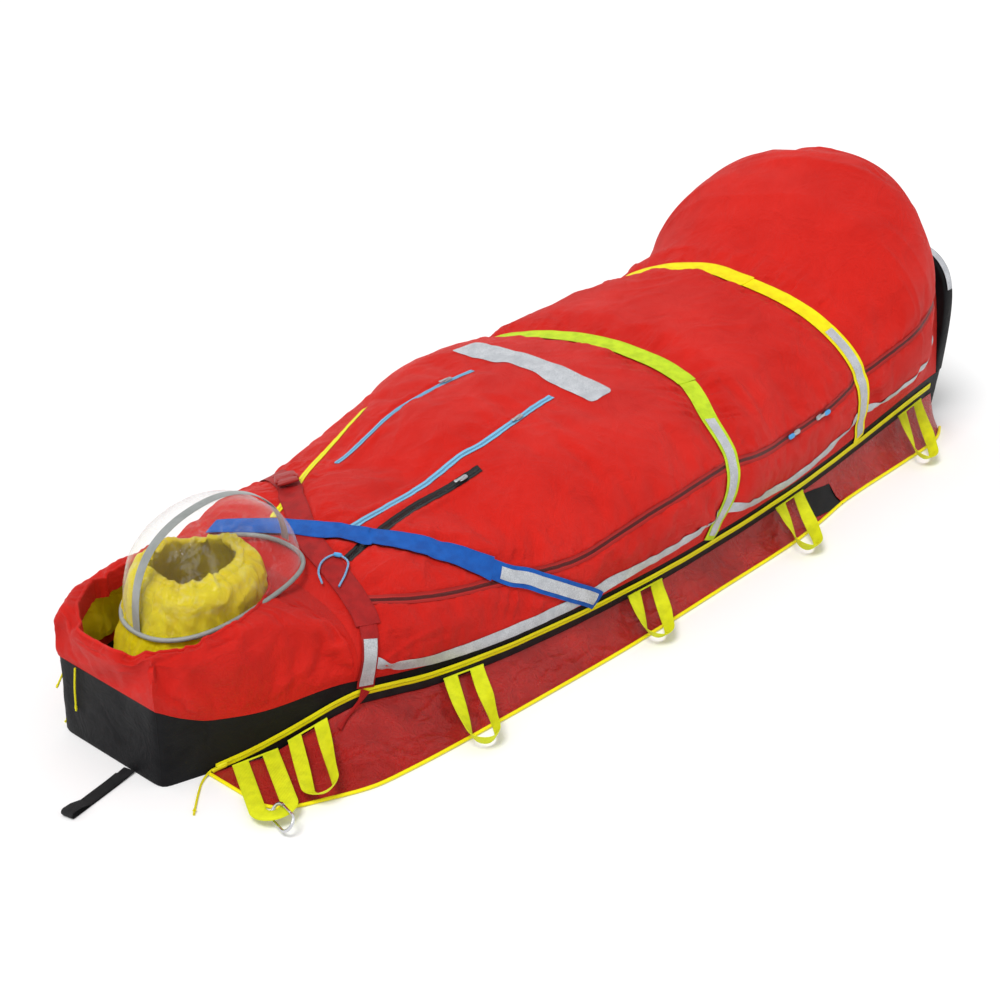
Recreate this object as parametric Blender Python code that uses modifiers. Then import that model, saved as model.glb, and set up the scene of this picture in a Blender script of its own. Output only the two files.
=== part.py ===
"""Casualty bag with an unzipped rescue sheet, laid out full on the floor.

Metres, +Z up. The head end is at -X and the foot end at +X, the opened sheet with its carrying
loops is on the -Y side, and the sheet on the +Y side is folded away behind its closed zip.
The origin is on the floor under the middle of the base tub.
"""
import math

import bmesh
import bpy
import numpy as np
from mathutils import Matrix, Vector
from mathutils.bvhtree import BVHTree

# Overall length of the tub, head face to foot face
BAG_LENGTH = 2.20

# The body, one row a station: share of the length from the head, half width of the floor, half width
# and height of the tub's rim, fullness of the cover's side, and height of the cover's crest.
BODY_ROWS = (
    (0.000, 0.138, 0.138, 0.157, 0.170, 0.250),
    (0.022, 0.151, 0.153, 0.128, 0.180, 0.251),
    (0.045, 0.165, 0.168, 0.108, 0.195, 0.252),
    (0.085, 0.194, 0.200, 0.099, 0.225, 0.256),
    (0.150, 0.238, 0.248, 0.110, 0.278, 0.258),
    (0.189, 0.265, 0.280, 0.104, 0.296, 0.270),
    (0.227, 0.288, 0.305, 0.100, 0.312, 0.284),
    (0.318, 0.322, 0.342, 0.096, 0.327, 0.299),
    (0.409, 0.335, 0.360, 0.095, 0.370, 0.350),
    (0.500, 0.340, 0.366, 0.095, 0.416, 0.373),
    (0.591, 0.335, 0.362, 0.096, 0.418, 0.366),
    (0.682, 0.325, 0.350, 0.098, 0.380, 0.387),
    (0.773, 0.308, 0.332, 0.103, 0.371, 0.408),
    (0.827, 0.295, 0.318, 0.108, 0.378, 0.425),
    (0.882, 0.282, 0.304, 0.114, 0.398, 0.545),
    (0.936, 0.270, 0.290, 0.120, 0.352, 0.600),
    (0.966, 0.264, 0.283, 0.123, 0.275, 0.597),
    (0.976, 0.262, 0.281, 0.124, 0.266, 0.592),
    (0.984, 0.261, 0.279, 0.124, 0.266, 0.562),
    (1.000, 0.258, 0.275, 0.125, 0.300, 0.430),
)
SIDE_SHOULDER = 0.42      # height of the side's fullest part, as a share of the cover's own height
CREST_FLATNESS = 0.97     # how far the crest's flat part reaches, against the side's fullness

# Height of the side zips on the tub's wall: share of the length, height
ZIP_HEIGHTS = ((0.043, 0.0085), (0.07, 0.020), (0.095, 0.035), (0.121, 0.054), (0.147, 0.073),
               (0.168, 0.083), (0.195, 0.081), (0.23, 0.075), (0.45, 0.075), (0.68, 0.078),
               (0.86, 0.088), (0.98, 0.098))

# Outer edge of the opened sheet: share of the length, distance from the bag's middle line
SHEET_EDGE = ((0.040, 0.305), (0.048, 0.332), (0.075, 0.364), (0.127, 0.403), (0.225, 0.415),
              (0.390, 0.420), (0.570, 0.408), (0.660, 0.400), (0.715, 0.386), (0.775, 0.365),
              (0.885, 0.352), (0.935, 0.345), (0.970, 0.318), (0.985, 0.290))

# Foot panel: fullness of its side and height of its top
PANEL_FULLNESS = 0.305
PANEL_SHOULDER = 0.9
PANEL_HEIGHT = 0.425
PANEL_TAPE_START = 4

TUB_WALL = 0.004
TUB_FLOOR = 0.006
COVER_WALL = 0.010
COLLAR_WALL = 0.008
NECK_SHARE = 0.160        # where the collar meets the cover
FOOT_SHARE = 0.984        # where the cover meets the foot panel
COVER_STATIONS = 28
COVER_HALF_STEPS = 9
SEAT_GAP = 0.0003         # between pieces that touch
SKIN_GAP = 0.0005         # under a tape that lies on a curved wall

MAT_THICKNESS = 0.030
MAT_INSET = 0.022

SHEET_THICKNESS = 0.0025
SHEET_RIPPLE = 0.005
PIPING_RADIUS = 0.0035
ZIP_TAPE_WIDTH = 0.015
ZIP_TAPE_THICKNESS = 0.0025
SEAM_TAPE_WIDTH = 0.017
SEAM_TAPE_THICKNESS = 0.0022
STOWED_SHEET_BULGE = 0.024

# Carrying loops on the opened sheet: share of the length at the root, webbing width, then the share,
# distance from the bag's middle line and height of the band's round end
LOOP_ROWS = ((0.0765, 0.030, 0.0305, 0.362, 0.0215), (0.120, 0.026, 0.0740, 0.380, 0.0175),
             (0.258, 0.028, 0.2150, 0.462, 0.0080), (0.470, 0.028, 0.4360, 0.455, 0.0108),
             (0.693, 0.028, 0.6560, 0.455, 0.0108), (0.932, 0.026, 0.8900, 0.396, 0.0125))
LOOP_THICKNESS = 0.003
LOOP_SLOT = 0.026         # clear width between a loop's two legs
LOOP_ROOT_RADIUS = 0.002
LOOP_ROOT_LEAST_HEIGHT = 0.0095

CARABINER_LENGTH = 0.074
CARABINER_WIDTH = 0.038
CARABINER_WIRE = 0.0030
CARABINER_TILT = math.radians(50)
CARABINER_YAW = math.radians(14)
CARABINER_HANG = 0.0036   # clear way between the loop's band and the carabiner's inner end
GATE_CLEARANCE = 0.0009
GATE_SLIMNESS = 0.8

# Straps over the cover, from the near rim over the crest to the far rim: share of the length, side and
# height of points on the strap's middle line
BLUE_LINE = ((0.404, -0.352, 0.094), (0.385, -0.345, 0.120), (0.350, -0.330, 0.165), (0.309, -0.288, 0.210),
             (0.270, -0.200, 0.245), (0.236, -0.100, 0.262), (0.213, 0.000, 0.270), (0.193, 0.080, 0.270),
             (0.176, 0.165, 0.255))
RED_LINE = ((0.168, -0.266, 0.088), (0.171, -0.264, 0.150), (0.178, -0.250, 0.200), (0.190, -0.150, 0.255),
            (0.204, -0.045, 0.270), (0.232, 0.060, 0.272), (0.266, 0.175, 0.262), (0.290, 0.300, 0.200),
            (0.292, 0.350, 0.092))
LIME_LINE = ((0.556, -0.372, 0.090), (0.566, -0.376, 0.138), (0.580, -0.368, 0.210), (0.590, -0.300, 0.315),
             (0.611, -0.202, 0.356), (0.6145, -0.066, 0.372), (0.609, 0.080, 0.370), (0.5955, 0.201, 0.352),
             (0.580, 0.320, 0.300), (0.566, 0.376, 0.180), (0.560, 0.372, 0.090))
YELLOW_LINE = ((0.820, -0.320, 0.096), (0.816, -0.331, 0.136), (0.806, -0.335, 0.250),
               (0.795, -0.280, 0.350), (0.791, -0.160, 0.405), (0.790, -0.048, 0.420), (0.791, 0.087, 0.418),
               (0.777, 0.189, 0.395), (0.765, 0.300, 0.300), (0.762, 0.325, 0.096))
STRAP_WIDTH = 0.048
LOWER_STRAP_WIDTH = 0.040
REFLECTOR_WIDTH = 0.022
STRAP_STEPS = 28
STRAP_THICKNESS = 0.0022
REFLECTOR_THICKNESS = 0.0012
# Sides at which a coloured tongue meets its lower strap, and where the reflective tape on that one starts
BLUE_JOINT = (-0.284, -0.292)
RED_JOINT = (-0.250, -0.256)
LIME_JOINT = (-0.202, -0.295)
YELLOW_JOINT = (-0.048, -0.264)
STRAP_JOINT_GAP = 0.0006
CUTTER_DEPTH = 0.025
CUTTER_OVERRUN = 0.03

# Lines of tapes and zips on the cover. Side lines give share and height, top lines share and side
MAIN_ZIP_LINE = ((0.192, 0.235), (0.285, 0.205), (0.373, 0.190), (0.490, 0.236), (0.570, 0.245),
                 (0.660, 0.224), (0.727, 0.228), (0.818, 0.268), (0.895, 0.320), (0.962, 0.352))
RIGHT_ZIP_LINE = ((0.236, -0.070), (0.364, -0.068), (0.400, -0.084), (0.486, -0.078))
LEFT_ZIP_LINE = ((0.312, 0.140), (0.386, 0.160), (0.445, 0.147), (0.482, 0.130))
YELLOW_ZIP_LINE = ((0.212, 0.078), (0.250, 0.120), (0.290, 0.172), (0.341, 0.222), (0.400, 0.262))
POCKET_ZIP_LINE = ((0.208, -0.132), (0.262, -0.114), (0.307, -0.106), (0.370, -0.124))
BELLY_BAR_LINE = ((0.516, -0.155), (0.516, 0.235))
MAIN_ZIP_WIDTH = 0.028
TOP_ZIP_WIDTH = 0.018
YELLOW_ZIP_WIDTH = 0.014
POCKET_ZIP_WIDTH = 0.022
BELLY_BAR_WIDTH = 0.062
REFLECTIVE_STRIP_LINE = ((0.166, 0.150), (0.200, 0.122), (0.240, 0.110), (0.300, 0.106), (0.370, 0.108),
                         (0.430, 0.116), (0.490, 0.132), (0.575, 0.150), (0.635, 0.124), (0.690, 0.116),
                         (0.745, 0.130), (0.810, 0.168), (0.870, 0.180), (0.920, 0.206), (0.962, 0.224))
REFLECTIVE_STRIP_WIDTH = 0.024
TAPE_THICKNESS = 0.0020
# What the cutters of these lines reach across: sides of the bag, or heights from over the floor mat up
MAIN_ZIP_SPAN = (-0.6, -0.02)
NEAR_SPAN = (-0.6, -0.1)
FAR_SPAN = (0.1, 0.6)
TOP_LINE_SPAN = (0.2, 0.8)

# Layers on the cover: each starts above the one below
TAPE_LAYER = SKIN_GAP
STRAP_LAYER = TAPE_LAYER + TAPE_THICKNESS + SKIN_GAP
UPPER_STRAP_LAYER = STRAP_LAYER + STRAP_THICKNESS + SKIN_GAP

# Head end: the collar's opening, the hood in it and the clear window over it
OPENING_CENTRE = 0.165
OPENING_HALF_LENGTH = 0.176
OPENING_HALF_WIDTH = 0.164
OPENING_HEAD_HEIGHT = 0.250
OPENING_NECK_HEIGHT = 0.2630
COLLAR_BULGE = 0.014
WINDOW_CENTRE = 0.238
WINDOW_SIDE = -0.018
WINDOW_HALF_LENGTH = 0.174
WINDOW_HALF_WIDTH = 0.124
WINDOW_HEIGHT = 0.155
WINDOW_CREST_SHIFT = -0.030
WINDOW_THICKNESS = 0.002
WINDOW_HINGE_GAP = 0.0005
WINDOW_BASE_HEAD = 0.238
WINDOW_BASE_NECK = 0.2780
BINDING_RADIUS = 0.0045
RIB_RADIUS = 0.0045
# Hood profile: how far out, as a share of its own half sizes, and the height
HOOD_HALF_LENGTH = 0.128
HOOD_HALF_WIDTH = 0.110
HOOD_CENTRE = 0.203
HOOD_SIDE = -0.014
HOOD_PROFILE = ((0.95, 0.00), (1.08, 0.06), (1.15, 0.11), (1.12, 0.150), (1.00, 0.190), (0.91, 0.225),
                (0.83, 0.258), (0.64, 0.288))
HOOD_WALL = 0.012

# Zip sliders, cords and small webbing
SLIDER_SIZE = (0.020, 0.011, 0.0045)
SLIDER_TAB = (0.022, 0.006, 0.0018)
SLIDER_RIDE = 0.0009
SIDE_SLIDER_RIDE = 0.0006
SIDE_SLIDER_SHARE = 0.0498
MAIN_SLIDER_SHARES = (0.690, 0.728)
CORD_RADIUS = 0.002
# Route of a side zip's cord: back along the wall, away from it, and height above the floor
PULL_ROUTE = ((0.018, 0.004, 0.0025), (0.034, 0.018, 0.0), (0.052, 0.044, 0.0), (0.070, 0.074, 0.0),
              (0.086, 0.102, 0.0))
STOWED_PULL_SPREAD = 0.12  # how far the stowed side's cord strays from the wall, against the other's
# Elastic cord that lies over the chest strap by the neck: share of the length, side
NECK_CORD_ROUTE = ((0.172, -0.150), (0.180, -0.124), (0.192, -0.108), (0.203, -0.114), (0.2045, -0.140),
                   (0.194, -0.160), (0.180, -0.176))
PULL_LOOP_WIDTH = 0.025
PULL_LOOP_THICKNESS = 0.002
PULL_LOOP_REACH = 0.165
PULL_LOOP_SIDE = -0.054
PULL_LOOP_YAW = math.radians(12)
PATCH_SIZE = (0.110, 0.040)
PATCH_THICKNESS = 0.0015
PATCH_SHARE = 0.739
PATCH_OUTER = 0.376
BUCKLE_SIZE = (0.056, 0.046, 0.013)
BUCKLE_SIDE = 0.165
BUCKLE_STAND = 0.0009

RED = (0.72, 0.035, 0.025)
GLOSSY_RED = (0.42, 0.008, 0.012)
DARK_RED = (0.30, 0.012, 0.012)
BLACK = (0.012, 0.012, 0.014)
YELLOW = (0.95, 0.85, 0.01)
LIME = (0.60, 0.85, 0.03)
BLUE = (0.01, 0.16, 0.50)
PALE_BLUE = (0.28, 0.55, 0.78)
SILVER = (0.55, 0.57, 0.60)
CLEAR = (0.85, 0.88, 0.90)


def x_at(share):
    """Place along the bag of a share of its length."""
    return (share - 0.5) * BAG_LENGTH


def share_at(x):
    return x / BAG_LENGTH + 0.5


def curve_through(rows, column=1):
    """A smooth curve that keeps between the values of neighbouring rows (monotone cubic)."""
    places = np.array([row[0] for row in rows], float)
    values = np.array([row[column] for row in rows], float)
    steps = np.diff(places)
    slopes = np.diff(values) / steps
    tangents = np.zeros(len(values))
    same_way = slopes[:-1] * slopes[1:] > 0
    left = 2 * steps[1:] + steps[:-1]
    right = steps[1:] + 2 * steps[:-1]
    safe = np.where(same_way, slopes[:-1], 1.0), np.where(same_way, slopes[1:], 1.0)
    harmonic = (left + right) / (left / safe[0] + right / safe[1])
    tangents[1:-1] = np.where(same_way, harmonic, 0.0)
    tangents[0], tangents[-1] = slopes[0], slopes[-1]

    def value(share):
        share = np.clip(np.asarray(share, float), places[0], places[-1])
        cell = np.clip(np.searchsorted(places, share, side="right") - 1, 0, len(steps) - 1)
        h = steps[cell]
        u = (share - places[cell]) / h
        return (values[cell] * (1 + 2 * u) * (1 - u) ** 2 + tangents[cell] * h * u * (1 - u) ** 2
                + values[cell + 1] * u * u * (3 - 2 * u) + tangents[cell + 1] * h * u * u * (u - 1))
    return value


floor_half = curve_through(BODY_ROWS, 1)
rim_half = curve_through(BODY_ROWS, 2)
rim_height = curve_through(BODY_ROWS, 3)
side_fullness = curve_through(BODY_ROWS, 4)
crest_height = curve_through(BODY_ROWS, 5)
zip_height = curve_through(ZIP_HEIGHTS)
sheet_edge = curve_through(SHEET_EDGE)

COVER_SHARES = np.concatenate([np.linspace(NECK_SHARE, 0.966, COVER_STATIONS), [0.976, FOOT_SHARE]])
HEAD_SHARES = np.array([0.0, 0.022, 0.045, 0.075, 0.105, 0.132])
TUB_SHARES = np.concatenate([HEAD_SHARES, COVER_SHARES, [1.0]])


def new_material(name, colour, roughness=0.6, metallic=0.0, alpha=1.0):
    material = bpy.data.materials.new(name)
    material.use_nodes = True
    shader = material.node_tree.nodes["Principled BSDF"]
    shader.inputs["Base Color"].default_value = (*colour, 1.0)
    shader.inputs["Roughness"].default_value = roughness
    shader.inputs["Metallic"].default_value = metallic
    shader.inputs["Alpha"].default_value = alpha
    material.diffuse_color = (*colour, 1.0)
    return material


def mesh_object(name, verts, faces, finish):
    """A part from points and faces, its faces turned outwards."""
    mesh = bpy.data.meshes.new(name)
    mesh.from_pydata([tuple(map(float, v)) for v in verts], [], faces)
    return finish_mesh(name, mesh, finish)


def finish_mesh(name, mesh, finish):
    work = bmesh.new()
    work.from_mesh(mesh)
    bmesh.ops.recalc_face_normals(work, faces=work.faces)
    work.to_mesh(mesh)
    work.free()
    mesh.validate()
    colour, roughness, metallic = finish
    mesh.materials.append(new_material(name + "_finish", colour, roughness, metallic))
    mesh.shade_smooth()
    mesh.set_sharp_from_angle(angle=math.radians(40))
    part = bpy.data.objects.new(name, mesh)
    parts.objects.link(part)
    return part


def grid_faces(rows, columns, wrap, start=0, flip=False):
    """Two triangles a cell, cut along the same diagonal everywhere."""
    faces = []
    for i in range(rows - 1):
        for j in range(columns if wrap else columns - 1):
            a = start + i * columns + j
            b = start + i * columns + (j + 1) % columns
            c, d = b + columns, a + columns
            faces += [(a, c, b), (a, d, c)] if flip else [(a, b, c), (a, c, d)]
    return faces


def shell_object(name, outer, inner, finish, wrap=False, pole=False):
    """A wall between two grids of points, closed along its free edges."""
    rows, columns = outer.shape[:2]
    count = rows * columns
    verts = list(outer.reshape(-1, 3)) + list(inner.reshape(-1, 3))
    faces = grid_faces(rows, columns, wrap) + grid_faces(rows, columns, wrap, count, True)
    edges = [[j for j in range(columns)]]
    if pole:
        for start, grid in ((0, outer), (count, inner)):
            verts.append(grid[-1].mean(axis=0))
            last = start + (rows - 1) * columns
            faces += [(last + j, last + (j + 1) % columns, len(verts) - 1) for j in range(columns)]
    else:
        edges.append([(rows - 1) * columns + j for j in range(columns)])
    if wrap:
        loops = [edge + edge[:1] for edge in edges]
    else:
        left = [i * columns for i in range(rows)]
        right = [i * columns + columns - 1 for i in range(rows)]
        loops = edges + [left, right]
    for loop in loops:
        faces += [(a, b, b + count, a + count) for a, b in zip(loop[:-1], loop[1:])]
    return mesh_object(name, verts, faces, finish)


def loft_object(name, loops, finish, strip_caps=True):
    """A closed solid through closed loops. A strip cap joins each loop's first half to its second."""
    loops = np.asarray(loops)
    rows, columns = loops.shape[:2]
    faces = grid_faces(rows, columns, True)
    for start in (0, (rows - 1) * columns):
        if strip_caps:
            for j in range(columns // 2 - 1):
                faces.append((start + j, start + j + 1, start + columns - 2 - j,
                              start + columns - 1 - j))
        else:
            faces.append(tuple(start + j for j in range(columns)))
    return mesh_object(name, list(loops.reshape(-1, 3)), faces, finish)


def grid_normals(grid, wrap=False):
    """Outward directions at the points of a grid, from the steps to its neighbours."""
    along = np.gradient(grid, axis=0)
    if wrap:
        around = np.roll(grid, -1, axis=1) - np.roll(grid, 1, axis=1)
    else:
        around = np.gradient(grid, axis=1)
    normals = np.cross(along, around)
    return normals / np.maximum(np.linalg.norm(normals, axis=2, keepdims=True), 1e-12)


def flattened(normals, axis):
    """The same directions without one of their axes."""
    level = normals.copy()
    level[..., axis] = 0.0
    return level / np.linalg.norm(level, axis=-1, keepdims=True)


def wall_point(share, height, side):
    """A point of the tub's outer wall at a height."""
    lean = np.clip(height / rim_height(share), 0.0, 1.0)
    half = floor_half(share) + (rim_half(share) - floor_half(share)) * lean
    return np.stack([x_at(share) + 0 * half, side * half, height + 0 * half], axis=-1)


def wall_outward(share, side):
    """The wall's level outward direction there."""
    step = 0.01
    ahead = wall_point(np.minimum(share + step, 1.0), zip_height(share), side)
    behind = wall_point(np.maximum(share - step, 0.0), zip_height(share), side)
    along = (ahead - behind)[..., :2]
    along = along / np.linalg.norm(along, axis=-1, keepdims=True)
    return np.stack([-side * along[..., 1], side * along[..., 0], 0 * along[..., 0]], axis=-1)


def arch(half, rim, full, crest, fullest=SIDE_SHOULDER):
    """Points of an arch from the near rim over the crest to the far rim, as side and height."""
    t = np.linspace(0, 1, COVER_HALF_STEPS + 1)
    shoulder = rim + fullest * (crest - rim)
    side = (1 - t) ** 3 * half + 3 * (1 - t) ** 2 * t * full + 3 * (1 - t) * t * t * full * CREST_FLATNESS
    height = (1 - t) ** 3 * rim + 3 * (1 - t) ** 2 * t * shoulder + (3 * (1 - t) * t * t + t ** 3) * crest
    near = np.stack([-side, height], axis=1)
    return np.concatenate([near, near[::-1][1:] * np.array([-1, 1])])


def standing(points, x):
    """Side and height points set up at a place along the bag."""
    return np.column_stack([np.full(len(points), x), points])


def cover_section(share):
    """Points of the cover's outer face at one station."""
    return standing(arch(rim_half(share), rim_height(share), side_fullness(share), crest_height(share)),
                    x_at(share))


def body_skin():
    """The bag's outer face from above one zip over the cover to above the other, and its normals."""
    rows = []
    for share in COVER_SHARES:
        low = zip_height(share) + ZIP_TAPE_WIDTH / 2 + 2 * SKIN_GAP
        section = cover_section(share)
        near, far = wall_point(share, low, -1), wall_point(share, low, 1)
        rows.append(np.concatenate([near[None], section, far[None]]))
    skin = np.array(rows)
    return skin, grid_normals(skin)


def make_tub():
    """Base tub: floor, leaning side walls, head box and the low foot wall, as one loft."""
    def loop(height, inset):
        x = x_at(TUB_SHARES)
        x[0] += inset
        x[-1] -= inset
        shares = share_at(x)
        level = height(shares)
        lean = level / rim_height(shares)
        half = floor_half(shares) + (rim_half(shares) - floor_half(shares)) * lean - inset
        near = np.stack([x, -half, level], axis=1)
        return np.concatenate([near, near[::-1] * np.array([1, -1, 1])])

    def level_at(height):
        return lambda shares: np.full(len(shares), height)

    loops = [loop(level_at(0.0), 0.0), loop(lambda shares: zip_height(shares) / 2, 0.0),
             loop(zip_height, 0.0), loop(rim_height, 0.0),
             loop(rim_height, TUB_WALL), loop(level_at(TUB_FLOOR), TUB_WALL)]
    loft_object("base_tub", loops, (BLACK, 0.55, 0.0))


def make_mat():
    """Insulation mat on the tub's floor."""
    shares = np.linspace(0.012, 0.988, 24)
    bottom = TUB_FLOOR + SEAT_GAP
    loops = []
    for inset, height in ((0.006, 0.0), (0.0, MAT_THICKNESS / 2), (0.004, MAT_THICKNESS)):
        half = floor_half(shares) - MAT_INSET - inset
        near = np.stack([x_at(shares), -half, np.full(len(shares), bottom + height)], axis=1)
        loops.append(np.concatenate([near, near[::-1] * np.array([1, -1, 1])]))
    loft_object("foam_mat", loops, (YELLOW, 0.7, 0.0))


def make_cover(skin, normals):
    """Quilted cover from the neck to its own end wall at the foot, standing on the tub's rim."""
    outer = skin[:, 1:-1].copy()
    inward = normals[:, 1:-1].copy()
    inward[0] = flattened(inward[0], 0)
    inward[-1] = flattened(inward[-1], 0)
    inward[:, 0] = flattened(inward[:, 0], 2)
    inward[:, -1] = flattened(inward[:, -1], 2)
    for column in (0, -1):
        outer[:, column, 2] += SEAT_GAP
    inner = outer - COVER_WALL * inward
    inner[-1, :, 0] -= COVER_WALL
    inner[-1, 1:-1, 2] -= COVER_WALL / 2
    rows, columns = outer.shape[:2]
    count = rows * columns
    faces = grid_faces(rows, columns, False) + grid_faces(rows, columns, False, count, True)
    last = (rows - 1) * columns
    for start in (last, count + last):
        faces += [(start + j, start + j + 1, start + columns - 2 - j, start + columns - 1 - j)
                  for j in range(columns // 2 - 1)]
        middle = start + columns // 2
        faces.append((middle - 1, middle, middle + 1))
    neck = list(range(columns))
    left = [i * columns for i in range(rows)]
    right = [i * columns + columns - 1 for i in range(rows)]
    for loop in (neck, left, right, [last, last + columns - 1]):
        faces += [(a, b, b + count, a + count) for a, b in zip(loop[:-1], loop[1:])]
    mesh_object("cover", list(outer.reshape(-1, 3)) + list(inner.reshape(-1, 3)), faces, (RED, 0.6, 0.0))


def make_foot_panel():
    """Padded end panel standing on the tub's foot wall, with a reflective tape over its flank."""
    loops, flank = [], []
    for share in (FOOT_SHARE, 1.0):
        rim = float(rim_height(share)) + SEAT_GAP
        points = arch(float(rim_half(share)), rim, PANEL_FULLNESS, PANEL_HEIGHT, PANEL_SHOULDER)
        loop = standing(points, x_at(share) + (SEAT_GAP if share < 1 else 0.0))
        loops.append(np.concatenate([loop, loop[:1] * np.array([1, 0, 1])]))
        flank.append(loop)
    loft_object("foot_panel", loops, (BLACK, 0.5, 0.0), strip_caps=False)
    flank = np.array(flank)
    outs = flattened(grid_normals(flank), 0)
    if outs[0, COVER_HALF_STEPS, 2] < 0:
        outs = -outs
    tape = []
    for height in (SKIN_GAP, SKIN_GAP + TAPE_THICKNESS):
        raised = flank + outs * height
        tape.append(np.array([raised[0] * (1 - w) + raised[1] * w for w in (0.25, 0.75)]))
    inner, outer = (grid[:, PANEL_TAPE_START:-PANEL_TAPE_START] for grid in tape)
    shell_object("foot_reflector", outer, inner, (SILVER, 0.4, 0.0))


def collar_loops():
    """The collar's lower edge round the tub's rim and the neck, and its upper edge round the opening."""
    head = np.concatenate([COVER_SHARES[:1], HEAD_SHARES[::-1]])
    near = wall_point(head, rim_height(head), -1)
    face = np.array([[x_at(0.0), side * rim_half(0.0), rim_height(0.0)] for side in (-0.5, 0.0, 0.5)])
    far = wall_point(head[::-1], rim_height(head[::-1]), 1)
    neck = cover_section(NECK_SHARE)[::-1][1:-1]
    lower = np.concatenate([near, face, far, neck])
    lower[:len(near) + 3 + len(far), 2] += SEAT_GAP
    lower[len(near) + 3 + len(far):, 0] -= SEAT_GAP
    lower[0, 0] -= SEAT_GAP
    lower[len(near) + 2 + len(far), 0] -= SEAT_GAP
    centre = np.array([x_at(0.0) + OPENING_CENTRE, 0.0])
    angles = np.arctan2(lower[:, 1] / OPENING_HALF_WIDTH, (lower[:, 0] - centre[0]) / OPENING_HALF_LENGTH)
    share = (1 + np.cos(angles)) / 2
    upper = np.stack([centre[0] + OPENING_HALF_LENGTH * np.cos(angles), OPENING_HALF_WIDTH * np.sin(angles),
                      OPENING_HEAD_HEIGHT + (OPENING_NECK_HEIGHT - OPENING_HEAD_HEIGHT) * share], axis=1)
    return lower, upper


def make_collar():
    """Gathered collar round the head, standing on the tub's rim and on the cover's neck."""
    lower, upper = collar_loops()
    on_neck = lower[:, 0] > x_at(NECK_SHARE) - 2 * SEAT_GAP
    outwards = lower[:, :2] - np.array([x_at(0.0) + OPENING_CENTRE, 0.0])
    outwards /= np.linalg.norm(outwards, axis=1, keepdims=True)
    bulge = lower.copy()
    bulge[~on_neck, :2] += outwards[~on_neck] * COLLAR_BULGE
    bulge[on_neck] += (upper[on_neck] - lower[on_neck]) * 0.5
    bulge[~on_neck, 2] = OPENING_HEAD_HEIGHT - COLLAR_BULGE
    rows = []
    for k in np.linspace(0, 1, 6):
        rows.append((1 - k) ** 2 * lower + 2 * k * (1 - k) * bulge + k * k * upper)
    outer = np.array(rows)
    normals = grid_normals(outer, wrap=True)
    centre = outer.mean(axis=(0, 1))
    if ((outer[2] - centre) * normals[2]).sum() < 0:
        normals = -normals
    normals[0] = flattened(normals[0], 2)
    normals[0, on_neck] = neck_normals(lower[on_neck])
    shell_object("head_collar", outer, outer - COLLAR_WALL * normals, (RED, 0.6, 0.0), wrap=True)


def neck_normals(points):
    """Directions square to the neck section in its own plane."""
    section = cover_section(NECK_SHARE)
    tangent = np.gradient(section, axis=0)
    square = np.stack([0 * tangent[:, 0], -tangent[:, 2], tangent[:, 1]], axis=1)
    square /= np.linalg.norm(square, axis=1, keepdims=True)
    square[0] = (0, -1, 0)
    square[-1] = (0, 1, 0)
    nearest = [int(np.argmin(np.abs(section[:, 1] - p[1]) + np.abs(section[:, 2] - p[2]))) for p in points]
    return square[nearest]


def oval_ring(centre, half_length, half_width, height, count=32, power=2.0):
    """A level oval of points about (centre, 0), with squarer corners at a higher power."""
    angle = np.linspace(0, 2 * math.pi, count, endpoint=False)
    c, s = np.cos(angle), np.sin(angle)
    swell = (np.abs(c) ** power + np.abs(s) ** power) ** (-1 / power)
    return np.stack([centre + half_length * c * swell, half_width * s * swell,
                     np.full(count, height)], axis=1)


def make_hood():
    """Padded hood round the head, open over the face, standing on the mat."""
    centre = x_at(0.0) + HOOD_CENTRE
    base = TUB_FLOOR + MAT_THICKNESS + 2 * SEAT_GAP
    outer = np.array([oval_ring(centre, HOOD_HALF_LENGTH * reach, HOOD_HALF_WIDTH * reach, base + height, 28)
                      for reach, height in HOOD_PROFILE])
    outer[:, :, 1] += HOOD_SIDE
    normals = grid_normals(outer, wrap=True)
    if ((outer[2] - outer.mean(axis=(0, 1))) * normals[2]).sum() < 0:
        normals = -normals
    normals[0] = flattened(normals[0], 2)
    shell_object("hood", outer, outer - HOOD_WALL * normals, (YELLOW, 0.5, 0.0), wrap=True)


def window_seat(x):
    """Height of the window's binding along the bag: over the collar's rim, then down onto the cover."""
    head = x_at(0.0) + WINDOW_CENTRE - WINDOW_HALF_LENGTH
    chest = head + 2 * WINDOW_HALF_LENGTH
    neck = x_at(0.0) + OPENING_CENTRE + OPENING_HALF_LENGTH
    on_cover = float(crest_height(share_at(chest))) + BINDING_RADIUS + WINDOW_HINGE_GAP
    return curve_through(((head, WINDOW_BASE_HEAD), (neck, WINDOW_BASE_NECK), (chest, on_cover)))(x)


def window_surface(shrink, count=32, rings=7):
    """Dome grid over the window's binding, rising to a crest that leans towards the head."""
    middle = x_at(0.0) + WINDOW_CENTRE
    half = WINDOW_HALF_LENGTH - shrink
    grid = []
    for k in np.linspace(0, 1, rings + 1)[:-1]:
        rise = math.sin(k * math.pi / 2)
        reach = (1 - rise ** 2.4) ** (1 / 2.4)
        ring = oval_ring(middle, half * reach, (WINDOW_HALF_WIDTH - shrink) * reach, 0.0, count, 2.3)
        ring[:, 2] = window_seat(ring[:, 0]) + BINDING_RADIUS * 0.78 + (WINDOW_HEIGHT - shrink) * rise
        ring[:, 0] += WINDOW_CREST_SHIFT * rise ** 2
        ring[:, 1] += WINDOW_SIDE
        grid.append(ring)
    return np.array(grid)


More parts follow.
